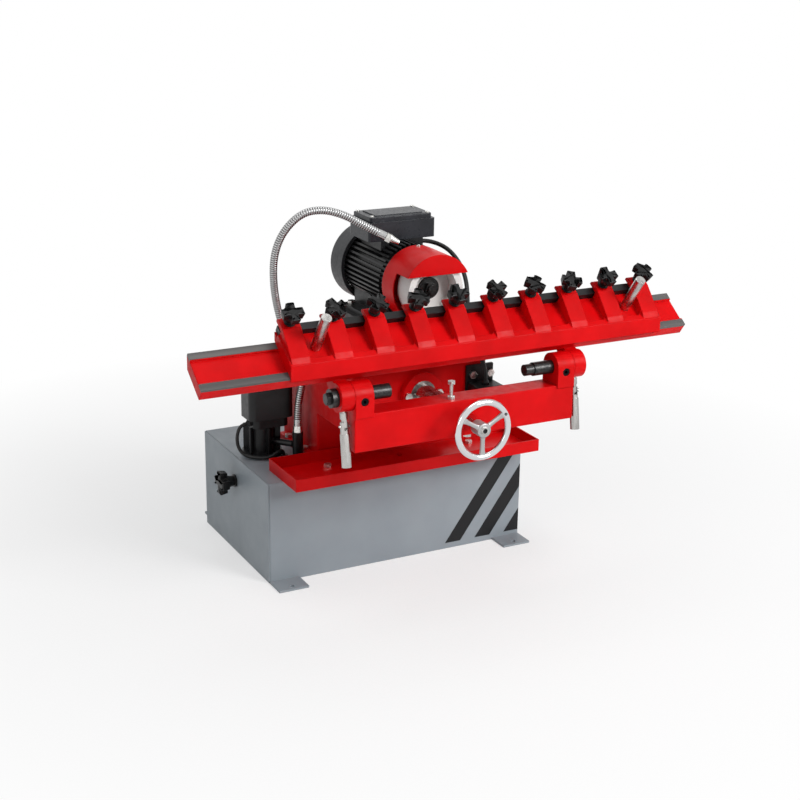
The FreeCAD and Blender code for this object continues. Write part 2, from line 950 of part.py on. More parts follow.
def front_beam():
    beam = box(-beam_half, beam_half, beam_front_y, beam_back_y, beam_floor_z, beam_top_z)
    beam = round_edges(beam, edge_break, X)
    solids = [beam]
    boss = rod(screw_boss_radius, on_axis(feed_axis, beam_front_y - screw_boss_proud), on_axis(feed_axis, beam_front_y + beam_wall))
    solids.append(boss)
    for side in (-1, 1):
        x0, x1 = bracket_span(side)
        post = box(x0, x1, pivot_y - bracket_radius, pivot_y + bracket_radius, beam_top_z - overrun, pivot_z)
        solids.append(post.common(box(x0, x1, beam_front_y - beam_wall, beam_back_y + beam_wall, beam_floor_z, pivot_z)))
        solids.append(rod(bracket_radius, Vector(x0, pivot_y, pivot_z), Vector(x1, pivot_y, pivot_z)))
    whole = union(solids)
    core = box(
        -beam_half + beam_wall,
        beam_half - beam_wall,
        beam_front_y + beam_wall,
        beam_back_y - beam_wall,
        beam_floor_z + beam_wall,
        beam_top_z - beam_wall,
    )
    whole = whole.cut(core)
    whole = whole.cut(rod(feed_screw_radius + running_fit, on_axis(feed_axis, beam_front_y - screw_boss_proud - overrun), on_axis(feed_axis, beam_front_y + beam_wall + overrun)))
    whole = whole.cut(rod(ram_bore_radius, on_axis(feed_axis, beam_back_y - beam_wall - overrun), on_axis(feed_axis, beam_back_y + overrun)))
    for side in (-1, 1):
        x0, x1 = bracket_span(side)
        line = Vector(x0 - overrun, pivot_y, pivot_z)
        whole = whole.cut(rod(pivot_radius + running_fit, line, Vector(x1 + overrun, pivot_y, pivot_z)))
        whole = whole.cut(recess_screw_hole(side))
    whole = whole.cut(hole(stop_x, stop_y, beam_top_z - beam_wall, beam_top_z, stop_shank_radius + hole_clearance))
    return whole.cut(hole(lock_bolt_x, lock_bolt_y, beam_floor_z, beam_floor_z + beam_wall, m8_radius + hole_clearance))


def bracket_span(side):
    ends = sorted((side * bracket_inner_x, side * beam_half))
    return ends[0], ends[1]


def recess_screw_place(side):
    middle = side * (bracket_inner_x + beam_half) / 2
    return Vector(middle, pivot_y - bracket_radius, recess_screw_z)


def recess_screw_hole(side):
    place = recess_screw_place(side)
    return rod(recess_screw_radius + recess_ring, place - Y * overrun, place + Y * recess_screw_depth)


def beam_screws():
    # the two recessed bracket screws, the stop bolt with its lock nut and the lock bolt under the beam
    solids = []
    for side in (-1, 1):
        place = recess_screw_place(side) + Y * edge_break
        end = recess_screw_place(side) + Y * recess_screw_depth
        head = rod(recess_screw_radius + recess_ring - part_gap, place, end)
        socket = aimed(hexagon(recess_screw_radius, recess_screw_depth), place - Y * edge_break, Y)
        solids.append(head.cut(socket.common(rod(recess_screw_radius, place - Y * overrun, end - Y * edge_break))))
    seat = Vector(stop_x, stop_y, beam_top_z)
    shank_start = seat - Z * (beam_wall + edge_break)
    shank = rod(stop_shank_radius, shank_start, seat + Z * (stop_height - stop_head_height))
    head = aimed(hexagon(stop_head_flats, stop_head_height), seat + Z * (stop_height - stop_head_height), Z)
    nut = aimed(hexagon(stop_head_flats, stop_head_height), seat, Z)
    solids.append(union([shank, head, nut]))
    solids.append(hex_bolt(m8_flats, m8_head, m8_radius, m8_length - m8_head, lock_nut_seat(), -Z))
    return solids


def lock_nut_seat():
    return Vector(lock_bolt_x, lock_bolt_y, beam_floor_z)


def on_pivot(x):
    return Vector(x, pivot_y, pivot_z)


def pivot_pins():
    # the left pin ends in a dial with a nut, the right one in a retaining ring
    ring_x = ear_outer_x + part_gap
    nut_x = ring_x + dial_thickness
    end_x = nut_x + pivot_nut_height + edge_break
    collar_end_x = bracket_inner_x - part_gap - collar_length
    left = union([
        rod(pivot_radius, on_pivot(-collar_end_x), on_pivot(-end_x)),
        rod(dial_radius, on_pivot(-ring_x), on_pivot(-nut_x)),
        aimed(hexagon(pivot_nut_flats, pivot_nut_height), on_pivot(-nut_x), -X),
    ])
    circlip_x = ring_x + circlip_thickness
    right = union([
        rod(pivot_radius, on_pivot(pivot_inner_x), on_pivot(circlip_x + edge_break)),
        rod(circlip_radius, on_pivot(ring_x), on_pivot(circlip_x)),
    ])
    return [left, right]


def pivot_collars():
    solids = []
    for side in (-1, 1):
        outer_x = bracket_inner_x - part_gap
        end = on_pivot(side * (outer_x - collar_length))
        body = ring(collar_radius, pivot_radius + running_fit, on_pivot(side * outer_x), end)
        if side > 0:
            body = body.fuse(ring(knurl_radius, pivot_radius + running_fit, end, on_pivot(pivot_inner_x)))
        solids.append(body.removeSplitter())
    return solids


# Handwheel and feed screw

def handwheel():
    rim_middle = handwheel_radius - handwheel_rim_radius
    rim = Part.makeTorus(rim_middle, handwheel_rim_radius, on_axis(feed_axis, handwheel_y), Y)
    hub = rod(handwheel_hub_radius, on_axis(feed_axis, handwheel_hub_front_y), on_axis(feed_axis, handwheel_hub_back_y))
    solids = [rim, hub]
    wide = spoke_width / 2
    narrow = wide * spoke_taper_share
    for spoke in range(spoke_count):
        points = [
            Vector(-wide, -spoke_thickness / 2, 0),
            Vector(wide, -spoke_thickness / 2, 0),
            Vector(narrow, -spoke_thickness / 2, rim_middle),
            Vector(-narrow, -spoke_thickness / 2, rim_middle),
        ]
        bar = outline_face(points).extrude(Vector(0, spoke_thickness, 0))
        bar.rotate(Vector(0, 0, 0), Y, 360 / spoke_count * (spoke + 0.5))
        bar.translate(on_axis(feed_axis, handwheel_y))
        solids.append(bar)
    grip_turn = math.radians(360 / spoke_count / 2)
    reach = Vector(math.sin(grip_turn), 0, math.cos(grip_turn)) * grip_boss_reach
    grip_back = on_axis(feed_axis, handwheel_y + spoke_thickness / 2) + reach
    grip_front = on_axis(feed_axis, handwheel_y - handwheel_rim_radius) + reach
    solids.append(rod(grip_boss_radius, grip_back, grip_front))
    whole = union(solids)
    whole = whole.cut(rod(grip_hole_radius, grip_front - Y * overrun, grip_back - Y * edge_break))
    bore_start = on_axis(feed_axis, handwheel_hub_front_y - overrun)
    bore_end = on_axis(feed_axis, handwheel_hub_back_y + overrun)
    return whole.cut(rod(feed_screw_radius, bore_start, bore_end))


def feed_screw():
    tip = on_axis(feed_axis, handwheel_hub_front_y - handwheel_screw_height / 2)
    end = on_axis(feed_axis, feed_screw_end_y)
    shaft = rod(feed_screw_radius, tip, end)
    collar_start_y = beam_front_y + beam_wall + part_gap
    collar_start = on_axis(feed_axis, collar_start_y)
    collar = rod(thrust_collar_radius, collar_start, collar_start + Y * thrust_collar_length)
    socket = rod(feed_screw_radius / 2, tip - Y * overrun, tip + Y * handwheel_screw_height)
    return union([shaft, collar]).cut(socket)


# Guide beam and strips, carriage, clamp bar: all in the guide beam's frame

def upright(u, n, drop):
    # from a place on an edge straight down in the machine's frame, by this much in n
    return (u - drop * math.tan(math.radians(slope)), n - drop)


def guide_beam():
    back_corner = upright(guide_width, -strip_thickness, guide_thickness - strip_thickness)
    rear_strip_u = guide_width - strip_width
    outline = [
        (0, -guide_thickness),
        (0, -strip_thickness),
        (strip_width, -strip_thickness),
        (strip_width, -land_depth),
        (channel_start_u, -land_depth),
        (channel_start_u, -channel_depth),
        (channel_end_u, -channel_depth),
        (channel_end_u, -land_depth),
        (rear_strip_u, -land_depth),
        (rear_strip_u, -strip_thickness),
        (guide_width, -strip_thickness),
        back_corner,
    ]
    half = guide_length / 2
    beam = side_prism(outline, -half, half)
    core_back = back_corner[0] - guide_core_wall
    bay_length = (guide_length - guide_end_wall * (guide_core_bays + 1)) / guide_core_bays
    for bay in range(guide_core_bays):
        x0 = -half + guide_end_wall + bay * (bay_length + guide_end_wall)
        roof = -channel_depth - guide_core_roof
        beam = beam.cut(box(x0, x0 + bay_length, guide_core_wall, core_back, -guide_thickness - overrun, roof))
    solids = [beam]
    pivot_u = -edge_before_pivot_u
    pivot_n = -track_over_pivot_n
    web_back_u = back_corner[0] - guide_core_wall
    web_n = -guide_thickness + edge_break
    span = math.hypot(web_back_u / 2 - pivot_u, web_n - pivot_n)
    across = Vector(0, -(web_n - pivot_n) / span, (web_back_u / 2 - pivot_u) / span) * ear_radius
    web = [
        (pivot_u + across.y, pivot_n + across.z),
        (edge_break, web_n),
        (web_back_u, web_n),
        (pivot_u - across.y, pivot_n - across.z),
    ]
    for side in (-1, 1):
        x0, x1 = sorted((side * ear_inner_x, side * ear_outer_x))
        solids.append(side_prism(web, x0, x1))
        solids.append(rod(ear_radius, Vector(x0, pivot_u, pivot_n), Vector(x1, pivot_u, pivot_n)))
    whole = union(solids)
    for side in (-1, 1):
        x0, x1 = sorted((side * ear_inner_x, side * ear_outer_x))
        line = Vector(x0 - overrun, pivot_u, pivot_n)
        whole = whole.cut(rod(pivot_radius + running_fit, line, Vector(x1 + overrun, pivot_u, pivot_n)))
    whole = on_track(whole)
    for side in (-1, 1):
        start = lever_point(side, 0)
        whole = whole.cut(rod(lever_stud_radius + running_fit, start, lever_point(side, ear_radius + overrun)))
    return whole


def guide_strips():
    half = guide_length / 2
    strips = []
    for u in (0, guide_width - strip_width):
        strip = box(-half, half, u, u + strip_width, -strip_thickness, 0)
        strips.append(on_track(strip))
    return strips


def carriage():
    front_wall = upright(0, 0, -lip_n)[0]
    skirt_inner = -skirt_wall_gap
    plate_top_back = plate_back_u + plate_thickness * math.tan(math.radians(slope))
    lip_front_u = skirt_u + (lip_n + skirt_drop) * math.tan(math.radians(slope))
    keel = 2 * running_fit
    outline = [
        (skirt_u, -skirt_drop),
        (lip_front_u, lip_n),
        (lip_back_u, lip_n),
        (throat_u, lip_n),
        (throat_u, plate_thickness),
        (plate_top_back, plate_thickness),
        (plate_back_u, slide_fit),
        (channel_end_u - keel, slide_fit),
        (channel_end_u - keel, part_gap - channel_depth),
        (channel_start_u + keel, part_gap - channel_depth),
        (channel_start_u + keel, slide_fit),
        (skirt_inner, slide_fit),
        (skirt_inner, -skirt_drop),
    ]
    body = side_prism(outline, carriage_start_x, carriage_end_x)
    for left, right in zip(rib_centres, rib_centres[1:]):
        x0 = left + rib_width / 2
        x1 = right - rib_width / 2
        pocket = box(x0, x1, lip_back_u, throat_u + 2 * pocket_radius, plate_thickness, lip_n + overrun)
        body = body.cut(round_edges(pocket, pocket_radius, Z))
        body = body.cut(box(x0, x1, throat_u - pocket_radius, throat_u + overrun, plate_thickness, lip_n + overrun))
    solids = [body]
    for middle in rib_centres:
        solids.append(rib(middle - rib_width / 2, middle + rib_width / 2))
    whole = union(solids)
    for middle in rib_centres:
        whole = whole.cut(rod(knob_stud_radius + running_fit, Vector(middle, knob_u, throat_n - edge_break), Vector(middle, knob_u, nose_n + overrun)))
    for x in handle_places():
        floor = plate_thickness - handle_spigot_depth - edge_break
        whole = whole.cut(rod(handle_spigot_radius + running_fit, Vector(x, handle_u, floor), Vector(x, handle_u, nose_n)))
    return on_track(whole)


def rib(x0, x1):
    # the rib climbs from the lip to the nose, and the nose reaches over the clamp bar
    nose_side = nose_end_u - nose_radius
    shoulder = nose_n - nose_radius
    mid = nose_radius * math.sqrt(0.5)
    edges = [
        Part.makeLine(Vector(x0, lip_back_u - lip_n / 2, plate_thickness), Vector(x0, lip_back_u - lip_n / 2, lip_n)),
        Part.makeLine(Vector(x0, lip_back_u - lip_n / 2, lip_n), Vector(x0, lip_back_u, rib_front_n)),
        Part.makeLine(Vector(x0, lip_back_u, rib_front_n), Vector(x0, nose_front_u, nose_n)),
        Part.makeLine(Vector(x0, nose_front_u, nose_n), Vector(x0, nose_side, nose_n)),
        Part.Arc(
            Vector(x0, nose_side, nose_n),
            Vector(x0, nose_side + mid, shoulder + mid),
            Vector(x0, nose_end_u, shoulder),
        ).toShape(),
        Part.makeLine(Vector(x0, nose_end_u, shoulder), Vector(x0, nose_end_u, throat_n)),
        Part.makeLine(Vector(x0, nose_end_u, throat_n), Vector(x0, throat_u, throat_n)),
        Part.makeLine(Vector(x0, throat_u, throat_n), Vector(x0, throat_u, plate_thickness)),
        Part.makeLine(Vector(x0, throat_u, plate_thickness), Vector(x0, lip_back_u - lip_n / 2, plate_thickness)),
    ]
    return Part.Face(Part.Wire(edges)).extrude(Vector(x1 - x0, 0, 0))


def clamp_bar():
    bar = box(
        carriage_start_x + end_margin,
        carriage_end_x - end_margin,
        bar_start_u,
        bar_start_u + bar_width,
        plate_thickness,
        plate_thickness + bar_height,
    )
    return on_track(bar)


def clamp_knob(middle):
    base_n = nose_n + part_gap
    hub_top_n = base_n + knob_hub_height
    hub = cone(knob_hub_base_radius, knob_hub_top_radius, Vector(middle, knob_u, base_n), Vector(middle, knob_u, hub_top_n))
    head = lobed_knob(knob_radius, knob_inner_radius, knob_lobes, knob_head_height)
    head.translate(Vector(middle, knob_u, hub_top_n))
    stud_tip = plate_thickness + bar_height + part_gap
    stud = rod(knob_stud_radius, Vector(middle, knob_u, stud_tip), Vector(middle, knob_u, base_n))
    return [on_track(union([hub, head])), on_track(stud)]


def handle_places():
    return [rib_centres[0] + rib_pitch / 2, rib_centres[-1] - rib_pitch / 2]


def carriage_handles():
    handles = []
    for x in handle_places():
        foot = Vector(x, handle_u, plate_thickness)
        grip = rod(handle_radius, foot, foot + Z * handle_height)
        rims = [edge for edge in grip.Edges if edge.BoundBox.ZLength < edge_break / 2]
        grip = grip.makeChamfer(edge_break, rims)
        spigot = rod(handle_spigot_radius, foot - Z * handle_spigot_depth, foot + Z * edge_break)
        handles.append(on_track(union([grip, spigot])))
    return handles


# Clamp levers

def lever_point(side, distance):
    turn = math.radians(lever_angle)
    direction = Vector(0, -math.sin(turn), -math.cos(turn))
    return Vector(side * ear_middle_x, pivot_y, pivot_z) + direction * distance


def lever_stud(side):
    stud = rod(lever_stud_radius, lever_point(side, lever_stud_start), lever_point(side, lever_hub_end))
    hub = rod(lever_hub_radius, lever_point(side, lever_hub_start), lever_point(side, lever_hub_end))
    half = lever_tongue / 2
    tongue_end = lever_point(side, lever_pin_reach)
    tongue_width = lever_tongue_radius
    flat = box(-half, half, -tongue_width, tongue_width, lever_hub_end - edge_break, lever_pin_reach)
    direction = lever_point(side, 1) - lever_point(side, 0)
    flat = aimed(flat, lever_point(side, 0), direction)
    eye = rod(tongue_width, tongue_end - X * half, tongue_end + X * half)
    whole = union([stud, hub, flat, eye])
    return whole.cut(rod(lever_pin_radius + running_fit, tongue_end - X * overrun, tongue_end + X * overrun))


def lever_handle(side):
    pin_place = lever_point(side, lever_pin_reach)
    turn = math.radians(lever_handle_angle)
    down = Vector(0, -math.sin(turn), -math.cos(turn))
    fork_start = pin_place - down * lever_fork_radius
    fork_end = pin_place + down * lever_fork_length
    fork = rod(lever_fork_radius, fork_start, fork_end)
    half = lever_tongue / 2 + part_gap
    slot = box(-half, half, -lever_handle_radius, lever_handle_radius, -lever_fork_radius - overrun, lever_tongue_radius + edge_break)
    fork = fork.cut(aimed(slot, pin_place, down))
    grip = rod(lever_handle_radius, fork_end, fork_end + down * lever_handle_length)
    whole = union([fork, grip])
    reach = lever_fork_radius + lever_pin_head
    pin = rod(lever_pin_radius, pin_place - X * reach, pin_place + X * reach)
    head_start = pin_place + X * (lever_fork_radius * 0.97)
    head = rod(lever_pin_head_radius, head_start, head_start + X * lever_pin_head)
    pin_hole = rod(lever_pin_radius, pin_place - X * (reach + overrun), pin_place + X * (reach + overrun))
    whole = whole.cut(pin_hole).cut(head)
    return [whole, union([pin, head])]


# Motor, cup wheel and guard

def motor_plate():
    half = motor_plate_width / 2
    plate = box(-half, half, motor_plate_front_y, motor_plate_back_y, column_top_z, motor_foot_z)
    for x, y in motor_bolt_places():
        plate = plate.cut(hole(x, y, column_top_z, motor_foot_z, m8_radius + hole_clearance))
    return plate


def motor_housing():
    points = []
    for fin in range(fin_count):
        for share, radius in (
            (0.0, motor_core_radius),
            ((1 - fin_share) / 2, motor_core_radius),
            ((1 - fin_share) / 2, motor_fin_radius),
            ((1 + fin_share) / 2, motor_fin_radius),
            ((1 + fin_share) / 2, motor_core_radius),
        ):
            turn = 2 * math.pi * (fin + share) / fin_count
            points.append(Vector(radius * math.sin(turn), motor_front_y, motor_z + radius * math.cos(turn)))
    body = outline_face(points).extrude(Vector(0, motor_back_y - motor_front_y, 0))
    pad = box(-pad_half_width, pad_half_width, terminal_front_y + edge_break, terminal_back_y - edge_break, motor_z + motor_core_radius / 2, terminal_floor_z)
    feet = []
    for side in (-1, 1):
        x0, x1 = sorted((side * foot_inner_x, side * foot_outer_x))
        feet.append(box(x0, x1, foot_front_y, foot_back_y, motor_foot_z, motor_foot_z + foot_pad_height))
        x0, x1 = sorted((side * foot_inner_x, side * (foot_bolt_x - m8_flats)))
        feet.append(box(x0, x1, foot_front_y, foot_back_y, motor_foot_z, motor_z - motor_core_radius / 2))
    whole = union([body, pad] + feet)
    whole = whole.cut(rod(motor_bore_radius, on_axis(motor_axis, motor_front_y - overrun), on_axis(motor_axis, motor_back_y + overrun)))
    for x, y in motor_bolt_places():
        whole = whole.cut(hole(x, y, motor_foot_z, motor_foot_z + foot_pad_height, m8_radius + hole_clearance))
    return whole


def end_shields():
    front = ring(shield_radius, shaft_radius + part_gap, on_axis(motor_axis, guard_back_y), on_axis(motor_axis, motor_front_y))
    front = front.cut(rod(bearing_radius, on_axis(motor_axis, motor_front_y - bearing_width), on_axis(motor_axis, motor_front_y + overrun)))
    for seat in guard_screw_places():
        front = front.cut(rod(small_screw_shank, seat, seat + Y * small_screw_length))
    rear_end = motor_back_y + rear_shield_thickness
    rear = ring(shield_radius, shaft_radius + part_gap, on_axis(motor_axis, motor_back_y), on_axis(motor_axis, rear_end))
    lugs = []
    for turn in range(cowl_lug_count):
        lug = box(-cowl_lug_width / 2, cowl_lug_width / 2, motor_back_y, rear_end, bearing_radius * 2, cowl_radius)
        lug.rotate(Vector(0, 0, 0), Y, 360 / cowl_lug_count * (turn + 0.5))
        lug.translate(on_axis(motor_axis, 0))
        lugs.append(lug)
    reach = rod(cowl_radius - cowl_wall, on_axis(motor_axis, motor_back_y), on_axis(motor_axis, rear_end))
    rear = rear.fuse(union(lugs).common(reach)).removeSplitter()
    rear = rear.cut(rod(bearing_radius, on_axis(motor_axis, motor_back_y - overrun), on_axis(motor_axis, motor_back_y + bearing_width)))
    return [front, rear]


def motor_bearings():
    inner = shaft_radius + running_fit
    front = ring(bearing_radius, inner, on_axis(motor_axis, motor_front_y - bearing_width), on_axis(motor_axis, motor_front_y))
    rear = ring(bearing_radius, inner, on_axis(motor_axis, motor_back_y), on_axis(motor_axis, motor_back_y + bearing_width))
    return [front, rear]


def motor_shaft():
    tip_y = wheel_back_y - wheel_back_wall - flange_thickness - wheel_nut_height - shaft_tip
    shaft = rod(shaft_radius, on_axis(motor_axis, tip_y), on_axis(motor_axis, cowl_end_y - rear_shield_thickness))
    rotor = rod(rotor_radius, on_axis(motor_axis, motor_front_y + rotor_inset), on_axis(motor_axis, motor_back_y - rotor_inset))
    return union([shaft, rotor])


def motor_fan():
    disc_y = motor_back_y + rear_shield_thickness + overrun
    start = on_axis(motor_axis, disc_y)
    solids = [rod(fan_radius, start, start + Y * fan_disc)]
    solids.append(rod(fan_hub_radius, start, start + Y * (fan_disc + fan_blade_width)))
    for blade in range(fan_blades):
        vane = box(-fan_disc / 2, fan_disc / 2, 0, fan_disc + fan_blade_width, 0, fan_radius)
        vane.rotate(Vector(0, 0, 0), Y, 360 / fan_blades * blade)
        vane.translate(start)
        solids.append(vane)
    fan = union(solids)
    return fan.cut(rod(shaft_radius, start - Y * overrun, start + Y * (fan_blade_width + 2 * overrun)))


def fan_cowl():
    start_y = motor_back_y - cowl_overlap
    cowl = rod(cowl_radius, on_axis(motor_axis, start_y), on_axis(motor_axis, cowl_end_y))
    rims = [edge for edge in cowl.Edges if edge.BoundBox.YLength < edge_break and edge.BoundBox.YMax > start_y + overrun]
    cowl = cowl.makeFillet(overrun, rims)
    cowl = cowl.cut(rod(cowl_radius - cowl_wall, on_axis(motor_axis, start_y - overrun), on_axis(motor_axis, cowl_end_y - overrun)))
    lip_radius = motor_fin_radius + cowl_lip_gap
    lip = ring(cowl_radius - cowl_wall / 2, lip_radius, on_axis(motor_axis, start_y), on_axis(motor_axis, start_y + cowl_wall))
    cowl = cowl.fuse(lip)
    spokes = []
    for turn in (0, 45, 90, 135):
        reach = cowl_radius
        bar = box(-cowl_spoke_width / 2, cowl_spoke_width / 2, -2 * overrun, overrun, -reach, reach)
        bar.rotate(Vector(0, 0, 0), Y, turn)
        bar.translate(on_axis(motor_axis, cowl_end_y))
        spokes.append(bar)
    cowl_inner = rod(cowl_radius - overrun, on_axis(motor_axis, cowl_end_y - overrun - edge_break), on_axis(motor_axis, cowl_end_y - cowl_wall))
    cowl = cowl.cut(cowl_inner)
    keep = union(spokes)
    for index in range(cowl_rings):
        inner = cowl_ring_pitch * (index + 1)
        slot = ring(inner + cowl_slot_width, inner, on_axis(motor_axis, cowl_end_y - 2 * overrun), on_axis(motor_axis, cowl_end_y + overrun))
        cowl = cowl.cut(slot.cut(keep))
    return cowl


def terminal_box():
    half = terminal_length / 2
    top_z = terminal_floor_z + terminal_body_height
    body = box(-half, half, terminal_front_y, terminal_back_y, terminal_floor_z, top_z)
    body = round_edges(body, terminal_corner, Z)
    wall = terminal_wall
    core = box(-half + wall, half - wall, terminal_front_y + wall, terminal_back_y - wall, terminal_floor_z + wall, top_z + overrun)
    body = body.cut(core)
    for seat in lid_screw_places():
        foot = Vector(seat.x, seat.y, terminal_floor_z)
        body = body.fuse(rod(terminal_post_radius, foot, Vector(seat.x, seat.y, top_z)))
        body = body.cut(rod(small_screw_shank, Vector(seat.x, seat.y, top_z) - Z * small_screw_length, seat))
    return body.removeSplitter().cut(hole(motor_gland_x, motor_gland_y, terminal_floor_z, terminal_floor_z + wall, motor_cable_radius + running_fit))


def terminal_lid():
    half = terminal_length / 2 - lid_inset
    floor_z = terminal_floor_z + terminal_body_height
    front = terminal_front_y + lid_inset
    back = terminal_back_y - lid_inset
    lid = box(-half, half, front, back, floor_z, floor_z + terminal_lid_height)
    lid = round_edges(lid, terminal_corner, Z)
    rims = [edge for edge in lid.Edges if edge.BoundBox.ZMin > floor_z + terminal_lid_height - edge_break / 2]
    lid = lid.makeChamfer(edge_break, rims)
    pad_half = half - lid_pad_side_inset
    pad_floor = floor_z + terminal_lid_height - edge_break
    pad_top = floor_z + terminal_lid_height + lid_pad_height
    pad = box(-pad_half, pad_half, front + lid_pad_end_inset, back - lid_pad_end_inset, pad_floor, pad_top)
    lid = lid.fuse(round_edges(pad, lid_pad_height, Z))
    for seat in lid_screw_places():
        lid = lid.cut(rod(small_screw_shank + hole_clearance, seat - Z * (terminal_lid_height + overrun), seat + Z * overrun))
    return lid


def lid_screw_places():
    half = terminal_length / 2 - lid_screw_inset
    top_z = terminal_floor_z + terminal_body_height + terminal_lid_height
    places = []
    for x in (-half, half):
        for y in (terminal_front_y + lid_screw_inset, terminal_back_y - lid_screw_inset):
            places.append(Vector(x, y, top_z))
    return places


def wheel_clamp():
    # inner flange with its hub, outer flange and nut
    seat = on_axis(motor_axis, wheel_back_y)
    inner = rod(flange_radius, seat + Y * flange_thickness, seat)
    hub = rod(wheel_bore_radius - running_fit, seat, seat - Y * (wheel_back_wall - edge_break))
    inner = union([inner, hub])
    front = seat - Y * wheel_back_wall
    outer = rod(flange_radius, front, front - Y * flange_thickness)
    nut = aimed(hexagon(wheel_nut_flats, wheel_nut_height), front - Y * flange_thickness, -Y)
    shaft_line = rod(shaft_radius, seat + Y * (flange_thickness + overrun), front - Y * (flange_thickness + wheel_nut_height + overrun))
    return [inner.cut(shaft_line), union([outer, nut]).cut(shaft_line)]


def cup_wheel():
    front = on_axis(motor_axis, wheel_front_y)
    back = on_axis(motor_axis, wheel_back_y)
    cup = rod(wheel_radius, front, back)
    cup = cup.cut(rod(wheel_radius - wheel_rim_wall, front - Y * overrun, back - Y * wheel_back_wall))
    return cup.cut(rod(wheel_bore_radius, front, back + Y * overrun))


def wheel_guard():
    back = on_axis(motor_axis, guard_back_y)
    drum = rod(guard_radius, on_axis(motor_axis, guard_front_y), back)
    drum = drum.cut(rod(guard_radius - guard_sheet, on_axis(motor_axis, guard_front_y + guard_sheet), back - Y * guard_sheet))
    hood_z = motor_z + guard_hood_rise
    reach = guard_radius + overrun
    open_front = box(-reach, reach, guard_front_y - overrun, guard_step_y, motor_z - reach, hood_z)
    drum = drum.cut(open_front)
    drum = drum.cut(rod(guard_hole_radius, back - Y * (guard_sheet + overrun), back + Y * overrun))
    for seat in guard_screw_places():
        drum = drum.cut(rod(small_screw_shank + hole_clearance, seat - Y * overrun, seat + Y * 2 * overrun))
    top = guard_top_screw_seat()
    return drum.cut(rod(small_screw_shank + hole_clearance, top - Z * overrun, top + Z * overrun))


def guard_top_screw_seat():
    return Vector(0, guard_top_screw_y, motor_z + guard_radius)


def guard_screw_places():
    seat_y = guard_back_y - guard_sheet
    places = []
    for turn in (90, 210, 330):
        angle = math.radians(turn)
        half = guard_screw_spacing
        places.append(Vector(half * math.cos(angle), seat_y, motor_z + half * math.sin(angle)))
    return places


# Switch on its bracket

def switch_bracket():
    back_y = head_front_y
    front_y = head_front_y - bracket_plate_thickness
    plate = box(bracket_plate_left_x, bracket_plate_right_x, front_y, back_y, bracket_plate_floor_z, bracket_plate_top_z)
    plate = round_edges(plate, bracket_plate_thickness / 2, Y)
    for x, z in bracket_bolt_places():
        line = Vector(x, front_y - overrun, z)
        plate = plate.cut(rod(m8_radius + hole_clearance, line, line + Y * (bracket_plate_thickness + 2 * overrun)))
    return plate


def switch_box():
    back_y = head_front_y - bracket_plate_thickness
    left_x = bracket_plate_left_x + switch_wall
    right_x = bracket_plate_right_x
    case = box(left_x, right_x, switch_front_y, back_y, switch_floor_z, switch_top_z)
    case = round_edges(case, switch_wall, Y)
    core = box(left_x + switch_wall, right_x - switch_wall, switch_front_y + switch_wall, back_y - switch_wall, switch_floor_z + switch_wall, switch_top_z - switch_wall)
    case = case.cut(core)
    for z in button_heights():
        centre = Vector(right_x, button_y(), z)
        case = case.fuse(ring(button_ring_radius, button_radius + part_gap, centre - X * edge_break, centre + X * button_ring_height))
        case = case.cut(rod(button_radius + part_gap, centre - X * (switch_wall + overrun), centre + X * overrun))
    gland_line = Vector(switch_gland_x, switch_gland_y, switch_top_z - switch_wall - overrun)
    return case.cut(rod(motor_cable_radius + running_fit, gland_line, gland_line + Z * (switch_wall + 2 * overrun)))


def button_y():
    return (switch_front_y + head_front_y - bracket_plate_thickness) / 2


def button_heights():
    middle = (switch_floor_z + switch_top_z) / 2
    return [middle + button_rise, middle - button_rise]


def push_button(z):
    face = Vector(bracket_plate_right_x, button_y(), z)
    inner_start = face - X * (switch_wall + part_gap + button_flange)
    inner_end = face - X * (switch_wall + part_gap)
    cap = rod(button_radius, inner_end, face + X * button_proud)
    flange = rod(button_radius + button_flange, inner_start, inner_end)
    return union([cap, flange])


# Coolant pump, valve, hose and nozzle

def pump_body():
    centre = Vector(pump_x, pump_y, 0)
    foot_top = cabinet_height + pump_foot_thickness
    foot = rod(pump_foot_radius, centre + Z * cabinet_height, centre + Z * foot_top)
    neck = rod(pump_neck_radius, centre + Z * cabinet_height, centre + Z * pump_neck_top_z)
    step = box(
        pump_case_x - pump_step_width / 2,
        pump_case_x + pump_step_width / 2,
        pump_case_y - pump_step_depth / 2,
        pump_case_y + pump_step_depth / 2,
        pump_neck_top_z - edge_break,
        pump_step_top_z,
    )
    step = round_edges(step, pump_case_corner, Z)
    solids = [foot, neck, step]
    rib_top = pump_neck_top_z - edge_break
    for index in range(pump_rib_count):
        fin = box(0, pump_foot_radius - pump_rib_thickness, -pump_rib_thickness / 2, pump_rib_thickness / 2, foot_top - edge_break, rib_top)
        fin.rotate(Vector(0, 0, 0), Z, 360 / pump_rib_count * (index + 0.5))
        fin.translate(centre)
        solids.append(fin)
    outlet_start = Vector(pump_x, pump_y, pump_outlet_z)
    outlet_end = Vector(valve_x, valve_y, pump_outlet_z)
    direction = (outlet_end - outlet_start).normalize()
    solids.append(rod(pump_outlet_radius, outlet_start, outlet_end - direction * (valve_radius + part_gap)))
    solids.append(ring(intake_radius, intake_radius - intake_wall, centre + Z * intake_end_z, centre + Z * (cabinet_height + edge_break)))
    whole = union(solids)
    whole = whole.cut(rod(pump_shaft_radius + part_gap, centre + Z * (cabinet_height - overrun), centre + Z * (pump_step_top_z + overrun)))
    window = box(
        pump_x - intake_radius - overrun,
        pump_x + intake_radius + overrun,
        pump_y - intake_window / 2,
        pump_y + intake_window / 2,
        intake_end_z + intake_window / 2,
        intake_end_z + 3 * intake_window / 2,
    )
    return whole.cut(window)


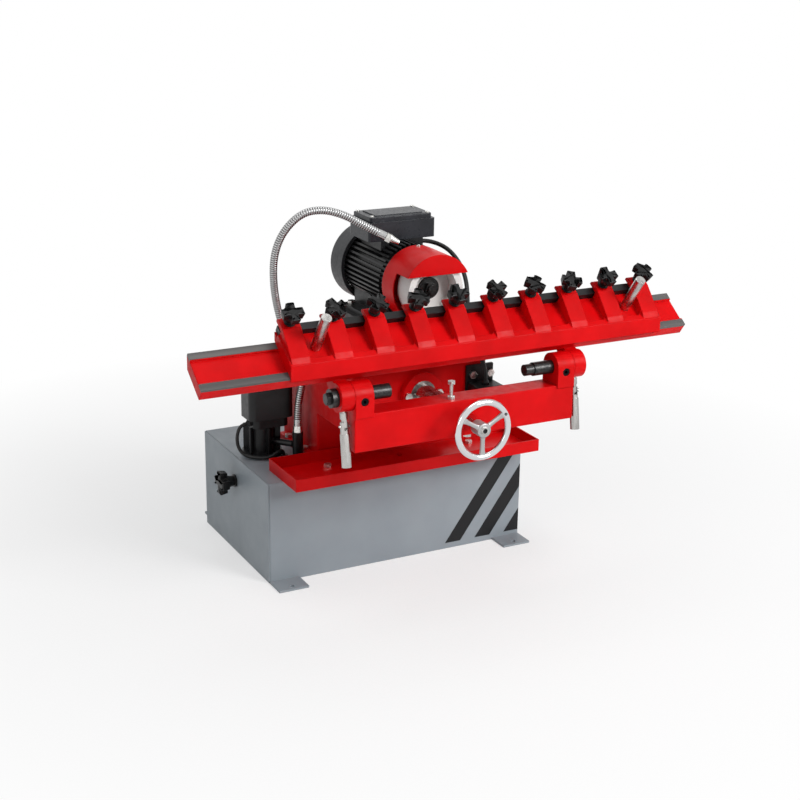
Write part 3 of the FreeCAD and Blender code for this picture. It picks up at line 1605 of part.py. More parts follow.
def pump_case():
    case = box(
        pump_case_x - pump_case_width / 2,
        pump_case_x + pump_case_width / 2,
        pump_case_y - pump_case_depth / 2,
        pump_case_y + pump_case_depth / 2,
        pump_step_top_z,
        pump_case_top_z,
    )
    case = round_edges(case, pump_case_corner, Z)
    core = box(
        pump_case_x - pump_case_width / 2 + pump_case_wall,
        pump_case_x + pump_case_width / 2 - pump_case_wall,
        pump_case_y - pump_case_depth / 2 + pump_case_wall,
        pump_case_y + pump_case_depth / 2 - pump_case_wall,
        pump_step_top_z - overrun,
        pump_case_top_z - pump_case_wall,
    )
    return case.cut(round_edges(core, pump_case_corner - pump_case_wall, Z))


def pump_rotor():
    centre = Vector(pump_x, pump_y, 0)
    impeller_floor = intake_end_z + 2 * intake_window
    top_z = (pump_step_top_z + pump_case_top_z) / 2
    shaft = rod(pump_shaft_radius, centre + Z * impeller_floor, centre + Z * (top_z + overrun))
    impeller = rod(impeller_radius, centre + Z * impeller_floor, centre + Z * (impeller_floor + impeller_height))
    core_floor = pump_step_top_z + 2 * overrun
    armature = rod(pump_armature_radius, centre + Z * core_floor, centre + Z * top_z)
    return union([shaft, impeller, armature])


def coolant_valve():
    foot = Vector(valve_x, valve_y, cabinet_height)
    top = foot + Z * valve_height
    body = rod(valve_radius, foot, top)
    return body.cut(rod(fitting_bore_radius, foot + Z * (pump_outlet_z - cabinet_height), top + Z * overrun))


def hose_fittings():
    foot = Vector(valve_x, valve_y, cabinet_height + valve_height)
    head = foot + Z * fitting_height
    lower = cone(fitting_radius, hose_radius + edge_break, foot, head)
    lower = lower.cut(rod(fitting_bore_radius, foot - Z * overrun, head + Z * overrun))
    end = hose_route[-1]
    direction = (end - hose_route[-2]).normalize()
    nut = aimed(hexagon(nozzle_nut_flats, nozzle_nut_length), end, direction)
    nut_end = end + direction * nozzle_nut_length
    tip = cone(hose_radius, nozzle_tip_radius, nut_end, nut_end + direction * nozzle_length)
    nozzle = union([nut, tip])
    nozzle = nozzle.cut(rod(fitting_bore_radius, end - direction * overrun, nut_end + direction * (nozzle_length + overrun)))
    return [lower, nozzle]


def coolant_hose():
    length = route_wire(hose_route).Length
    ribbed = length - 2 * hose_end_straight
    pitch = ribbed / hose_ribs
    marks = [(0.0, hose_root_radius)]
    for index in range(hose_ribs):
        start = hose_end_straight + index * pitch
        marks.append((start, hose_root_radius))
        marks.append((start + 0.2 * pitch, hose_radius))
        marks.append((start + 0.7 * pitch, hose_radius))
        marks.append((start + 0.9 * pitch, hose_root_radius))
    marks.append((length, hose_root_radius))
    outer = ring_loft(hose_route, marks)
    inner_steps = hose_ribs // 2
    inner_marks = [(length * step / inner_steps, hose_bore_radius) for step in range(inner_steps + 1)]
    hose = outer.cut(ring_loft(hose_route, inner_marks))
    radii = route_radii(hose_route)
    print("coolant hose length", round(length, 1), "ribs", hose_ribs, "pitch", round(pitch, 2))
    print("coolant hose least radius", round(min(radii), 1), "in diameters", round(min(radii) / (2 * hose_radius), 2))
    print("coolant hose volume", round(hose.Volume, 0), "valid", hose.isValid(), "solids", len(hose.Solids))
    return hose.Solids[0]


def gland(cable_radius, start, direction):
    body = aimed(hexagon(gland_flats, gland_length / 2), start, direction)
    cap_start = start + direction * (gland_length / 2)
    cap = cone(gland_radius * 0.85, cable_radius + edge_break, cap_start, start + direction * gland_length)
    whole = union([body, cap])
    return whole.cut(rod(cable_radius + running_fit, start - direction * overrun, start + direction * (gland_length + overrun)))


def cable_glands():
    box_floor = Vector(motor_gland_x, motor_gland_y, terminal_floor_z)
    box_top = Vector(switch_gland_x, switch_gland_y, switch_top_z)
    pump_side = Vector(pump_case_x - pump_step_width / 2, pump_gland_y, pump_gland_z)
    grommet_foot = Vector(floor_grommet_x, floor_grommet_y, cabinet_height)
    return [
        gland(motor_cable_radius, box_floor, -Z),
        gland(motor_cable_radius, box_top, Z),
        gland(pump_cable_radius, pump_side, -X),
        ring(grommet_radius, pump_cable_radius + running_fit, grommet_foot, grommet_foot + Z * grommet_height),
    ]


def fasteners():
    bolts = []
    for x in tray_bolt_x:
        seat = Vector(x, tray_bolt_y, cabinet_height + tray_sheet)
        bolts.append(hex_bolt(m8_flats, m8_head, m8_radius, m8_length, seat, Z))
    for x, y in column_bolt_places():
        seat = Vector(x, y, cabinet_height + column_foot_thickness)
        bolts.append(hex_bolt(m8_flats, m8_head, m8_radius, m8_length + column_foot_thickness, seat, Z))
    for x in (-boss_bolt_spacing / 2, boss_bolt_spacing / 2):
        bolts.append(hex_bolt(m8_flats, m8_head, m8_radius, m8_length, Vector(x, boss_front_y, feed_z), -Y))
    for x, y in motor_bolt_places():
        seat = Vector(x, y, motor_foot_z + foot_pad_height)
        bolts.append(hex_bolt(m8_flats, m8_head, m8_radius, m8_length + foot_pad_height, seat, Z))
    for x, z in bracket_bolt_places():
        seat = Vector(x, head_front_y - bracket_plate_thickness, z)
        bolts.append(hex_bolt(m8_flats, m8_head, m8_radius, m8_length, seat, -Y))
    return bolts


def small_screws():
    screws = [round_screw(seat, Z) for seat in lid_screw_places()]
    screws += [round_screw(seat, -Y) for seat in guard_screw_places()]
    screws.append(round_screw(guard_top_screw_seat(), Z))
    return screws


def build():
    os.makedirs("parts", exist_ok=True)
    save("base_cabinet", cabinet())
    save("side_panel", side_panel())
    save("panel_knob", *panel_knob())
    save("coolant_tank", coolant_tank())
    save("drip_tray", drip_tray())
    save("column", column())
    save("ram_bush_and_feed_nut", *ram_bush())
    save("ram", ram())
    save("front_beam", front_beam())
    save("beam_screws", *beam_screws())
    save("pivot_pins", *pivot_pins())
    save("pivot_collars", *pivot_collars())
    save("handwheel", handwheel())
    save("feed_screw", feed_screw())
    save("guide_beam", guide_beam())
    save("guide_strips", *guide_strips())
    save("carriage", carriage())
    save("clamp_bar", clamp_bar())
    save("carriage_handles", *carriage_handles())
    for number, middle in enumerate(rib_centres, start=1):
        save("clamp_knob_%02d" % number, *clamp_knob(middle))
    for name, side in (("left", -1), ("right", 1)):
        save("lever_stud_" + name, lever_stud(side))
        save("lever_handle_" + name, *lever_handle(side))
    save("motor_plate", motor_plate())
    save("motor_housing", motor_housing())
    save("end_shields", *end_shields())
    save("motor_bearings", *motor_bearings())
    save("motor_shaft", motor_shaft())
    save("motor_fan", motor_fan())
    save("fan_cowl", fan_cowl())
    save("terminal_box", terminal_box())
    save("terminal_lid", terminal_lid())
    save("wheel_flanges", *wheel_clamp())
    save("cup_wheel", cup_wheel())
    save("wheel_guard", wheel_guard())
    save("switch_bracket", switch_bracket())
    save("switch_box", switch_box())
    for name, z in zip(("start_button", "stop_button"), button_heights()):
        save(name, push_button(z))
    save("pump_body", pump_body())
    save("pump_case", pump_case())
    save("pump_rotor", pump_rotor())
    save("coolant_valve", coolant_valve())
    save("hose_fittings", *hose_fittings())
    save("coolant_hose", coolant_hose())
    save("motor_cable", route_tube("motor cable", motor_cable_route, motor_cable_radius))
    save("pump_cable", route_tube("pump cable", pump_cable_route, pump_cable_radius))
    save("cable_glands", *cable_glands())
    save("hex_bolts", *fasteners())
    save("small_screws", *small_screws())


build()
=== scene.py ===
"""Finishes, knobs, handwheel, cables and hose of the planer knife grinder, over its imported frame."""

import math

import bmesh
import bpy
from mathutils import Matrix, Vector


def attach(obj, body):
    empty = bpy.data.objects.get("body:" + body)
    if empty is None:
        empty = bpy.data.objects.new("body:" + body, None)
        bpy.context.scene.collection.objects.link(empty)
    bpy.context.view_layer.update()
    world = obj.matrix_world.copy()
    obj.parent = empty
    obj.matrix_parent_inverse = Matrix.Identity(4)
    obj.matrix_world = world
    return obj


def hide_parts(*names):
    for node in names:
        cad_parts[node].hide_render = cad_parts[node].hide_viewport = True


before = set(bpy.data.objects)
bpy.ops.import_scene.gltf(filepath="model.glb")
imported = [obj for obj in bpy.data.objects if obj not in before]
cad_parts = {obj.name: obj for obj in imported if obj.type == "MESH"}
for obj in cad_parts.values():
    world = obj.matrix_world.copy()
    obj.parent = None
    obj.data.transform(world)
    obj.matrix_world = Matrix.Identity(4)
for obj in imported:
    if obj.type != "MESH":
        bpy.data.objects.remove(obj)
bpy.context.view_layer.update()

MM = 0.001

# Camera: where the photographer stood, in the machine's frame
CAMERA_PLACE = Vector((-1.2499, -2.5385, 1.205))
CAMERA_YAW = math.radians(27.70)
CAMERA_PITCH = math.radians(18.30)
CAMERA_ROLL = math.radians(0.84)
CAMERA_LENS = 69.3
CAMERA_SENSOR = 36.0

# Clamp knobs: they stand on the carriage's ribs, square to the sloping plate
KNOB_COUNT = 10
FIRST_RIB_X = -296.5 * MM
RIB_PITCH = 76.0 * MM
SLOPE = math.radians(36.0)
TRACK_ORIGIN = Vector((0, -382.303, 463.274)) * MM
KNOB_REACH = 84.0 * MM
KNOB_BASE = 36.4 * MM
KNOB_ACROSS = 40.0 * MM
KNOB_NECK = 14.0 * MM
KNOB_HEAD = 14.0 * MM
KNOB_TURN = math.radians(23.0)
KNOB_LOBES = 4
KNOB_LOBE_END_SHARE = 0.93
KNOB_WAIST_SHARES = {30.0: 0.65, 37.5: 0.515, 45.0: 0.46}
KNOB_SIDES = 48
KNOB_UNDERSIDE_SHARE = 0.90
KNOB_CORNER = math.radians(28)
KNOB_ROUNDING = 0.032
KNOB_FOOT_SHARE = 0.235
KNOB_STUD_RADIUS = 4.0 * MM
KNOB_STUD_TOP = 1.0 * MM
CLAMP_STUD_END = -12.0 * MM

# Knob of the cabinet's side panel
PANEL_KNOB_PLACE = Vector((-265.0, 0, 146.0)) * MM
PANEL_KNOB_ACROSS = 48.0 * MM
PANEL_KNOB_NECK = 18.0 * MM
PANEL_KNOB_HEAD = 15.0 * MM
PANEL_STUD_END = -28.0 * MM

# Handwheel on the feed axis, which runs along Y
FEED_Z = 353.0 * MM
WHEEL_Y = -457.0 * MM
WHEEL_RIM_MIDDLE = 48.0 * MM
WHEEL_RIM_RADIUS = 5.5 * MM
WHEEL_HUB_FRONT_Y = -463.0 * MM
WHEEL_HUB_BACK_Y = -436.0 * MM
WHEEL_HUB_RADIUS = 12.5 * MM
WHEEL_SPOKES = 3
WHEEL_SPOKE_WIDTH = 9.0 * MM
WHEEL_SPOKE_THICKNESS = 6.0 * MM
WHEEL_GRAIN = 0.9 * MM
WHEEL_PLUG_RADIUS = 2.6 * MM
WHEEL_SCREW_RADIUS = 5.0 * MM
WHEEL_SATIN_REACH = WHEEL_RIM_MIDDLE - 7 * MM
WHEEL_POLISH_REACH = WHEEL_RIM_MIDDLE - 4 * MM
WHEEL_PLUG_REACH = WHEEL_RIM_MIDDLE - 1.0 * MM
WHEEL_PLUG_ANGLE = math.radians(30)

# Coolant hose: a ribbed metal gooseneck from the valve to the nozzle
HOSE_RADIUS = 7.0 * MM
HOSE_ROOT_RADIUS = 6.1 * MM
HOSE_RIBS = 140
HOSE_CUFF = 13.0 * MM
HOSE_SIDES = 20
HOSE_STEPS_PER_RIB = 6
HOSE_ROUTE = [
    (-163, -61, 260),
    (-163, -61, 302),
    (-151, -62, 346),
    (-168, -66, 398),
    (-193, -72, 446),
    (-211, -82, 498),
    (-223, -95, 550),
    (-226, -107, 600),
    (-214, -120, 642),
    (-186, -136, 675),
    (-152, -149, 681),
    (-119, -164, 672),
    (-92, -178, 656),
    (-68, -192, 642.5),
    (-54, -200, 635),
]

# Cables: each goes from one gland to the next
MOTOR_CABLE_RADIUS = 4.0 * MM
MOTOR_CABLE_ROUTE = [
    (55, -100, 616.5),
    (55, -100, 598),
    (86, -106, 596),
    (108, -130, 586),
    (117, -162, 564),
    (112, -195, 540),
    (98, -226, 515),
    (86, -248, 482),
    (91, -257, 445),
    (109, -261, 412),
    (120, -260, 385),
    (120, -260, 359),
]
PUMP_CABLE_RADIUS = 3.2 * MM
PUMP_CABLE_ROUTE = [
    (-238, -15, 262),
    (-257, -15, 262),
    (-266, -15, 242),
    (-264, -13, 217),
    (-254, -20, 201),
    (-236, -38, 199),
    (-214, -49, 200),
    (-198, -46, 208),
    (-180, -36, 206),
    (-180, -36, 188),
]

# Reach of the stop bolt from the beam's middle; the brackets' screws lie further out
STOP_BOLT_REACH = 60.0 * MM

# Studio: light from all round, three softboxes as (name, place, size, power), and the floor,
# whose own glow grows from the first reach to the second
STUDIO_AMBIENT = (0.22, 0.225, 0.23, 1)
STUDIO_WHITE = (1, 1, 1, 1)
SOFTBOXES = (
    ("key_softbox", (1.7, -3.2, 2.3), 1.5, 124),
    ("left_softbox", (-3.0, -1.2, 1.6), 1.2, 13),
    ("top_softbox", (-0.2, 0.4, 3.2), 1.8, 26),
)
SOFTBOX_AIM = Vector((0, -0.1, 0.35))
FLOOR_SIZE = 30.0
FLOOR_GLOW_REACH = (0.35, 1.3)
FLOOR_GLOW_SHARE = (0.55, 1.0)

# Stripes on the cabinet's front: black bands that lean to the right
STRIPE_FACE_Y = -159.5 * MM
STRIPE_FLOOR_Z = 11.0 * MM
STRIPE_START_X = 101.0 * MM
STRIPE_PITCH = 65.5 * MM
STRIPE_WIDTH = 34.0 * MM
STRIPE_LEAN = 0.71
STRIPE_COUNT = 3
STRIPE_BLUR = 0.4 * MM


# Materials

def start_material(name, colour, roughness, metal=0.0):
    material = bpy.data.materials.new(name)
    material.use_nodes = True
    tree = material.node_tree
    shader = tree.nodes["Principled BSDF"]
    shader.inputs["Base Color"].default_value = (*colour, 1)
    shader.inputs["Roughness"].default_value = roughness
    shader.inputs["Metallic"].default_value = metal
    return material, tree, shader


def feed(tree, socket, value):
    if isinstance(value, (int, float)):
        socket.default_value = value
    else:
        tree.links.new(value, socket)


def place_of(tree, stretch=(1, 1, 1)):
    coordinates = tree.nodes.new("ShaderNodeTexCoord")
    mapping = tree.nodes.new("ShaderNodeMapping")
    mapping.inputs["Scale"].default_value = stretch
    tree.links.new(coordinates.outputs["Object"], mapping.inputs["Vector"])
    return mapping.outputs["Vector"]


def noise(tree, size, detail=3.0, stretch=(1, 1, 1)):
    node = tree.nodes.new("ShaderNodeTexNoise")
    node.inputs["Scale"].default_value = 1 / size
    node.inputs["Detail"].default_value = detail
    tree.links.new(place_of(tree, stretch), node.inputs["Vector"])
    return node.outputs["Fac"]


def spread(tree, value, low, high, start=0.35, end=0.65):
    node = tree.nodes.new("ShaderNodeMapRange")
    feed(tree, node.inputs["Value"], value)
    node.inputs["From Min"].default_value = start
    node.inputs["From Max"].default_value = end
    node.inputs["To Min"].default_value = low
    node.inputs["To Max"].default_value = high
    return node.outputs["Result"]


def blend_colours(tree, share, first, second):
    node = tree.nodes.new("ShaderNodeMix")
    node.data_type = "RGBA"
    feed(tree, node.inputs["Factor"], share)
    for socket, colour in ((node.inputs["A"], first), (node.inputs["B"], second)):
        if isinstance(colour, tuple):
            socket.default_value = (*colour, 1)
        else:
            tree.links.new(colour, socket)
    return node.outputs["Result"]


def sum_of(tree, operation, first, second):
    node = tree.nodes.new("ShaderNodeMath")
    node.operation = operation
    feed(tree, node.inputs[0], first)
    feed(tree, node.inputs[1], second)
    return node.outputs["Value"]


def relief(tree, shader, grains, edge):
    """Softened edges first, then each grain of the surface as (height, depth)."""
    corner = tree.nodes.new("ShaderNodeBevel")
    corner.samples = 4
    corner.inputs["Radius"].default_value = edge
    normal = corner.outputs["Normal"]
    for height, depth in grains:
        bump = tree.nodes.new("ShaderNodeBump")
        bump.inputs["Distance"].default_value = depth
        tree.links.new(height, bump.inputs["Height"])
        tree.links.new(normal, bump.inputs["Normal"])
        normal = bump.outputs["Normal"]
    tree.links.new(normal, shader.inputs["Normal"])


def finish(
    name, dark, light, patch, gloss, grains=(), metal=0.0, shine=0.5, edge=0.6 * MM, stretch=(1, 1, 1),
):
    """A finish whose two colours mix in patches, with a range of roughness and its fine grains."""
    material, tree, shader = start_material(name, light, gloss[0], metal)
    shader.inputs["Specular IOR Level"].default_value = shine
    patches = noise(tree, patch, 4.0, stretch)
    tree.links.new(blend_colours(tree, spread(tree, patches, 0, 1), dark, light), shader.inputs["Base Color"])
    wear = noise(tree, patch / 5, 5.0, stretch)
    tree.links.new(spread(tree, wear, gloss[0], gloss[1]), shader.inputs["Roughness"])
    relief(tree, shader, [(noise(tree, size, 2.0, stretch), depth) for size, depth in grains], edge)
    return material


RED_DARK = (0.56, 0.0010, 0.0020)
RED_LIGHT = (0.68, 0.0015, 0.0032)
BLACK_DARK = (0.004, 0.004, 0.0045)
BLACK_LIGHT = (0.010, 0.010, 0.011)

red_casting = finish(
    "red_casting_enamel", RED_DARK, RED_LIGHT, 60 * MM, (0.32, 0.46),
    [(1.6 * MM, 0.03 * MM), (18 * MM, 0.30 * MM)], shine=0.10, edge=2.4 * MM,
)
red_sheet = finish(
    "red_sheet_enamel", RED_DARK, RED_LIGHT, 80 * MM, (0.28, 0.40),
    [(1.3 * MM, 0.02 * MM)], shine=0.12, edge=1.0 * MM,
)
black_casting = finish(
    "black_motor_enamel", BLACK_DARK, BLACK_LIGHT, 25 * MM, (0.28, 0.42),
    [(0.9 * MM, 0.05 * MM), (6 * MM, 0.12 * MM)], shine=0.25, edge=0.8 * MM,
)
black_sheet = finish(
    "black_sheet_enamel", BLACK_DARK, BLACK_LIGHT, 40 * MM, (0.30, 0.42),
    [(0.8 * MM, 0.02 * MM)], shine=0.3, edge=0.7 * MM,
)
cowl_grey = finish(
    "dark_grey_cowl_enamel", (0.022, 0.023, 0.026), (0.036, 0.038, 0.042), 30 * MM, (0.36, 0.48),
    [(0.7 * MM, 0.03 * MM)], shine=0.3, edge=1.2 * MM,
)
moulded_black = finish(
    "moulded_black_plastic", (0.0045, 0.0045, 0.0048), (0.0095, 0.0095, 0.010), 12 * MM, (0.30, 0.46),
    [(0.35 * MM, 0.03 * MM)], shine=0.25, edge=0.6 * MM,
)
box_black = finish(
    "terminal_box_plastic", (0.008, 0.009, 0.013), (0.015, 0.017, 0.023), 30 * MM, (0.26, 0.40),
    [(0.5 * MM, 0.04 * MM)], shine=0.35, edge=0.9 * MM,
)
ground_steel = finish(
    "ground_steel", (0.34, 0.33, 0.32), (0.58, 0.57, 0.55), 8 * MM, (0.20, 0.34),
    [(0.5 * MM, 0.006 * MM)], metal=1.0, edge=0.5 * MM, stretch=(1, 1, 0.12),
)
turned_steel = finish(
    "turned_steel", (0.36, 0.35, 0.34), (0.60, 0.59, 0.57), 5 * MM, (0.18, 0.30),
    [(0.4 * MM, 0.008 * MM)], metal=1.0, edge=0.4 * MM, stretch=(1, 0.25, 1),
)
strip_steel = finish(
    "dark_strip_steel", (0.075, 0.070, 0.069), (0.125, 0.118, 0.115), 20 * MM, (0.36, 0.54),
    [(0.5 * MM, 0.01 * MM)], metal=0.35, shine=0.3, edge=0.4 * MM, stretch=(0.06, 1, 1),
)
zinc_plate = finish(
    "zinc_plated_steel", (0.48, 0.48, 0.46), (0.74, 0.73, 0.70), 3 * MM, (0.20, 0.38),
    [(0.4 * MM, 0.01 * MM)], metal=1.0, edge=0.4 * MM,
)
nickel_plate = finish(
    "nickel_plated_brass", (0.56, 0.55, 0.52), (0.76, 0.75, 0.72), 4 * MM, (0.12, 0.24),
    [(0.6 * MM, 0.01 * MM)], metal=1.0, edge=0.4 * MM,
)
black_oxide = finish(
    "black_oxide_steel", (0.015, 0.015, 0.016), (0.045, 0.044, 0.043), 4 * MM, (0.26, 0.42),
    [(0.5 * MM, 0.01 * MM)], metal=0.7, edge=0.5 * MM,
)
bush_iron = finish(
    "machined_bush_iron", (0.16, 0.155, 0.15), (0.30, 0.29, 0.28), 6 * MM, (0.28, 0.42),
    [(0.5 * MM, 0.01 * MM)], metal=1.0, edge=0.4 * MM,
)
tank_plastic = finish(
    "pale_tank_plastic", (0.50, 0.50, 0.47), (0.60, 0.60, 0.57), 40 * MM, (0.42, 0.55),
    [(1.2 * MM, 0.03 * MM)], edge=1.0 * MM,
)
green_cap = finish(
    "green_button_plastic", (0.006, 0.16, 0.030), (0.010, 0.22, 0.045), 6 * MM, (0.20, 0.32),
    [(0.5 * MM, 0.01 * MM)], edge=0.8 * MM,
)
red_cap = finish(
    "red_button_plastic", (0.40, 0.006, 0.006), (0.52, 0.010, 0.010), 6 * MM, (0.20, 0.32),
    [(0.5 * MM, 0.01 * MM)], edge=0.8 * MM,
)
cable_rubber = finish(
    "black_cable_rubber", (0.005, 0.005, 0.005), (0.012, 0.012, 0.012), 9 * MM, (0.40, 0.58),
    [(0.4 * MM, 0.02 * MM)], shine=0.3, edge=0.3 * MM,
)


def cabinet_finish(name, striped):
    """Blue-grey powder coat with its orange-peel skin; the front also carries the leaning black bands."""
    material, tree, shader = start_material(name, (0.27, 0.31, 0.34), 0.4)
    shader.inputs["Specular IOR Level"].default_value = 0.3
    patches = spread(tree, noise(tree, 120 * MM, 3.0), 0, 1)
    colour = blend_colours(tree, patches, (0.255, 0.290, 0.318), (0.290, 0.328, 0.356))
    if striped:
        colour = blend_colours(tree, stripe_share(tree), colour, (0.006, 0.006, 0.007))
    tree.links.new(colour, shader.inputs["Base Color"])
    tree.links.new(spread(tree, noise(tree, 25 * MM, 4.0), 0.34, 0.46), shader.inputs["Roughness"])
    relief(tree, shader, [(noise(tree, 1.1 * MM, 2.0), 0.035 * MM)], 1.0 * MM)
    return material


def stripe_share(tree):
    """1 inside a band, 0 outside, for points on the cabinet's front face."""
    axes = tree.nodes.new("ShaderNodeSeparateXYZ")
    tree.links.new(place_of(tree), axes.inputs["Vector"])
    height = sum_of(tree, "SUBTRACT", axes.outputs["Z"], STRIPE_FLOOR_Z)
    leaned = sum_of(tree, "SUBTRACT", axes.outputs["X"], sum_of(tree, "MULTIPLY", height, STRIPE_LEAN))
    along = sum_of(tree, "SUBTRACT", leaned, STRIPE_START_X)
    turn = sum_of(tree, "FRACT", sum_of(tree, "DIVIDE", along, STRIPE_PITCH), 0)
    inside = sum_of(tree, "MULTIPLY", turn, STRIPE_PITCH)
    share = spread(tree, inside, 1, 0, STRIPE_WIDTH - STRIPE_BLUR, STRIPE_WIDTH)
    limits = (
        spread(tree, along, 0, 1, -STRIPE_BLUR, 0),
        spread(tree, along, 1, 0, STRIPE_PITCH * STRIPE_COUNT - STRIPE_BLUR, STRIPE_PITCH * STRIPE_COUNT),
        spread(tree, height, 0, 1, 0, STRIPE_BLUR),
        spread(tree, axes.outputs["Y"], 1, 0, STRIPE_FACE_Y - STRIPE_BLUR, STRIPE_FACE_Y),
    )
    for limit in limits:
        share = sum_of(tree, "MULTIPLY", share, limit)
    return share


def abrasive_finish():
    """White vitrified grit: bright grains in a slightly darker bond, open pores."""
    material, tree, shader = start_material("white_abrasive", (0.80, 0.79, 0.76), 0.85)
    cells = tree.nodes.new("ShaderNodeTexVoronoi")
    cells.inputs["Scale"].default_value = 1 / (0.9 * MM)
    tree.links.new(place_of(tree), cells.inputs["Vector"])
    grit = spread(tree, cells.outputs["Distance"], 0, 1, 0.1, 0.9)
    colour = blend_colours(tree, grit, (0.90, 0.89, 0.87), (0.74, 0.73, 0.71))
    tree.links.new(colour, shader.inputs["Base Color"])
    relief(tree, shader, [(grit, 0.25 * MM), (noise(tree, 0.5 * MM, 3.0), 0.15 * MM)], 1.2 * MM)
    return material


def handwheel_finish():
    """Cast aluminium: the rim polished bright, the spokes left satin."""
    material, tree, shader = start_material("polished_handwheel_aluminium", (0.80, 0.80, 0.80), 0.15, 1.0)
    axes = tree.nodes.new("ShaderNodeSeparateXYZ")
    tree.links.new(place_of(tree), axes.inputs["Vector"])
    flat = tree.nodes.new("ShaderNodeCombineXYZ")
    tree.links.new(axes.outputs["X"], flat.inputs["X"])
    tree.links.new(sum_of(tree, "SUBTRACT", axes.outputs["Z"], FEED_Z), flat.inputs["Y"])
    reach = tree.nodes.new("ShaderNodeVectorMath")
    reach.operation = "LENGTH"
    tree.links.new(flat.outputs["Vector"], reach.inputs[0])
    rim = spread(tree, reach.outputs["Value"], 0, 1, WHEEL_SATIN_REACH, WHEEL_POLISH_REACH)
    colour = blend_colours(tree, rim, (0.42, 0.42, 0.42), (0.66, 0.66, 0.67))
    tree.links.new(colour, shader.inputs["Base Color"])
    smears = spread(tree, noise(tree, 9 * MM, 4.0), -0.03, 0.05)
    gloss = sum_of(tree, "ADD", spread(tree, rim, 0.40, 0.10, 0, 1), smears)
    tree.links.new(gloss, shader.inputs["Roughness"])
    grains = [(noise(tree, 0.8 * MM, 2.0), 0.012 * MM), (noise(tree, 9 * MM, 2.0), 0.04 * MM)]
    relief(tree, shader, grains, 0.4 * MM)
    return material


def hose_finish():
    """Wound steel strip: bright crowns on the ribs, and painted shade that darkens the seams between them."""
    material, tree, shader = start_material("gooseneck_steel", (0.50, 0.50, 0.50), 0.25, 1.0)
    along = tree.nodes.new("ShaderNodeAttribute")
    along.attribute_name = "rib_crown"
    crown = along.outputs["Fac"]
    # painted shade: the base colour darkens from each rib's crown down into the seam beside it
    colour = blend_colours(tree, crown, (0.045, 0.045, 0.045), (0.46, 0.46, 0.46))
    tree.links.new(colour, shader.inputs["Base Color"])
    smears = spread(tree, noise(tree, 14 * MM, 4.0), 0.0, 0.1)
    gloss = sum_of(tree, "ADD", spread(tree, crown, 0.42, 0.20, 0, 1), smears)
    tree.links.new(gloss, shader.inputs["Roughness"])
    relief(tree, shader, [(noise(tree, 0.5 * MM, 2.0), 0.01 * MM)], 0.3 * MM)
    return material


def beam_screw_finish():
    """The stop bolt in the beam's middle is zinc plated, and the socket screws in the brackets are black."""
    material, tree, shader = start_material("beam_screw_steel", (0.5, 0.5, 0.5), 0.3, 1.0)
    axes = tree.nodes.new("ShaderNodeSeparateXYZ")
    tree.links.new(place_of(tree), axes.inputs["Vector"])
    aside = sum_of(tree, "ABSOLUTE", axes.outputs["X"], 0)
    outside = spread(tree, aside, 0, 1, STOP_BOLT_REACH, STOP_BOLT_REACH + MM)
    patches = spread(tree, noise(tree, 3 * MM, 4.0), 0, 1)
    zinc = blend_colours(tree, patches, (0.40, 0.40, 0.39), (0.66, 0.65, 0.63))
    tree.links.new(blend_colours(tree, outside, zinc, (0.012, 0.012, 0.014)), shader.inputs["Base Color"])
    tree.links.new(spread(tree, noise(tree, 2 * MM, 3.0), 0.22, 0.40), shader.inputs["Roughness"])
    relief(tree, shader, [(noise(tree, 0.4 * MM, 2.0), 0.01 * MM)], 0.4 * MM)
    return material


beam_screw_steel = beam_screw_finish()
grey_cabinet = cabinet_finish("blue_grey_cabinet_coat", True)
grey_panel = cabinet_finish("blue_grey_panel_coat", False)
white_abrasive = abrasive_finish()
bright_handwheel = handwheel_finish()
gooseneck_steel = hose_finish()

FINISH_OF_NODES = (
    (grey_cabinet, ["base_cabinet"]),
    (grey_panel, ["side_panel"]),
    (tank_plastic, ["coolant_tank"]),
    (red_sheet, ["drip_tray", "wheel_guard"]),
    (red_casting, ["column", "front_beam", "guide_beam", "carriage"]),
    (bush_iron, ["ram_bush_and_feed_nut"]),
    (turned_steel, ["ram", "feed_screw", "motor_bearings", "pump_rotor"]),
    (ground_steel, ["carriage_handles", "lever_stud_left", "lever_stud_right"]),
    (ground_steel, ["lever_handle_left", "lever_handle_right"]),
    (strip_steel, ["guide_strips"]),
    (zinc_plate, ["hex_bolts", "small_screws"]),
    (beam_screw_steel, ["beam_screws"]),
    (nickel_plate, ["hose_fittings"]),
    (black_oxide, ["pivot_pins", "pivot_collars", "wheel_flanges", "motor_shaft"]),
    (black_casting, ["motor_housing", "end_shields", "pump_body", "coolant_valve"]),
    (black_sheet, ["motor_plate", "clamp_bar", "switch_bracket", "pump_case"]),
    (cowl_grey, ["fan_cowl"]),
    (box_black, ["terminal_box", "terminal_lid"]),
    (moulded_black, ["motor_fan", "switch_box", "cable_glands"]),
    (green_cap, ["start_button"]),
    (red_cap, ["stop_button"]),
    (white_abrasive, ["cup_wheel"]),
)


def dress_nodes():
    for material, names in FINISH_OF_NODES:
        for name in names:
            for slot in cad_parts[name].material_slots:
                slot.material = material


# Pieces

def make_piece(name, shape, material, body, crease=35):
    """The shape as a smooth-shaded object that moves with its body."""
    bmesh.ops.recalc_face_normals(shape, faces=shape.faces)
    mesh = bpy.data.meshes.new(name)
    shape.to_mesh(mesh)
    shape.free()
    mesh.materials.append(material)
    mesh.shade_smooth()
    mesh.set_sharp_from_angle(angle=math.radians(crease))
    made = bpy.data.objects.new(name, mesh)
    bpy.context.scene.collection.objects.link(made)
    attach(made, body)
    return made


def bevel_edges(shape, edges, offset, segments=3):
    bmesh.ops.bevel(
        shape, geom=edges, offset=offset, offset_type="OFFSET", segments=segments,
        profile=0.5, affect="EDGES", clamp_overlap=True, material=-1,
    )


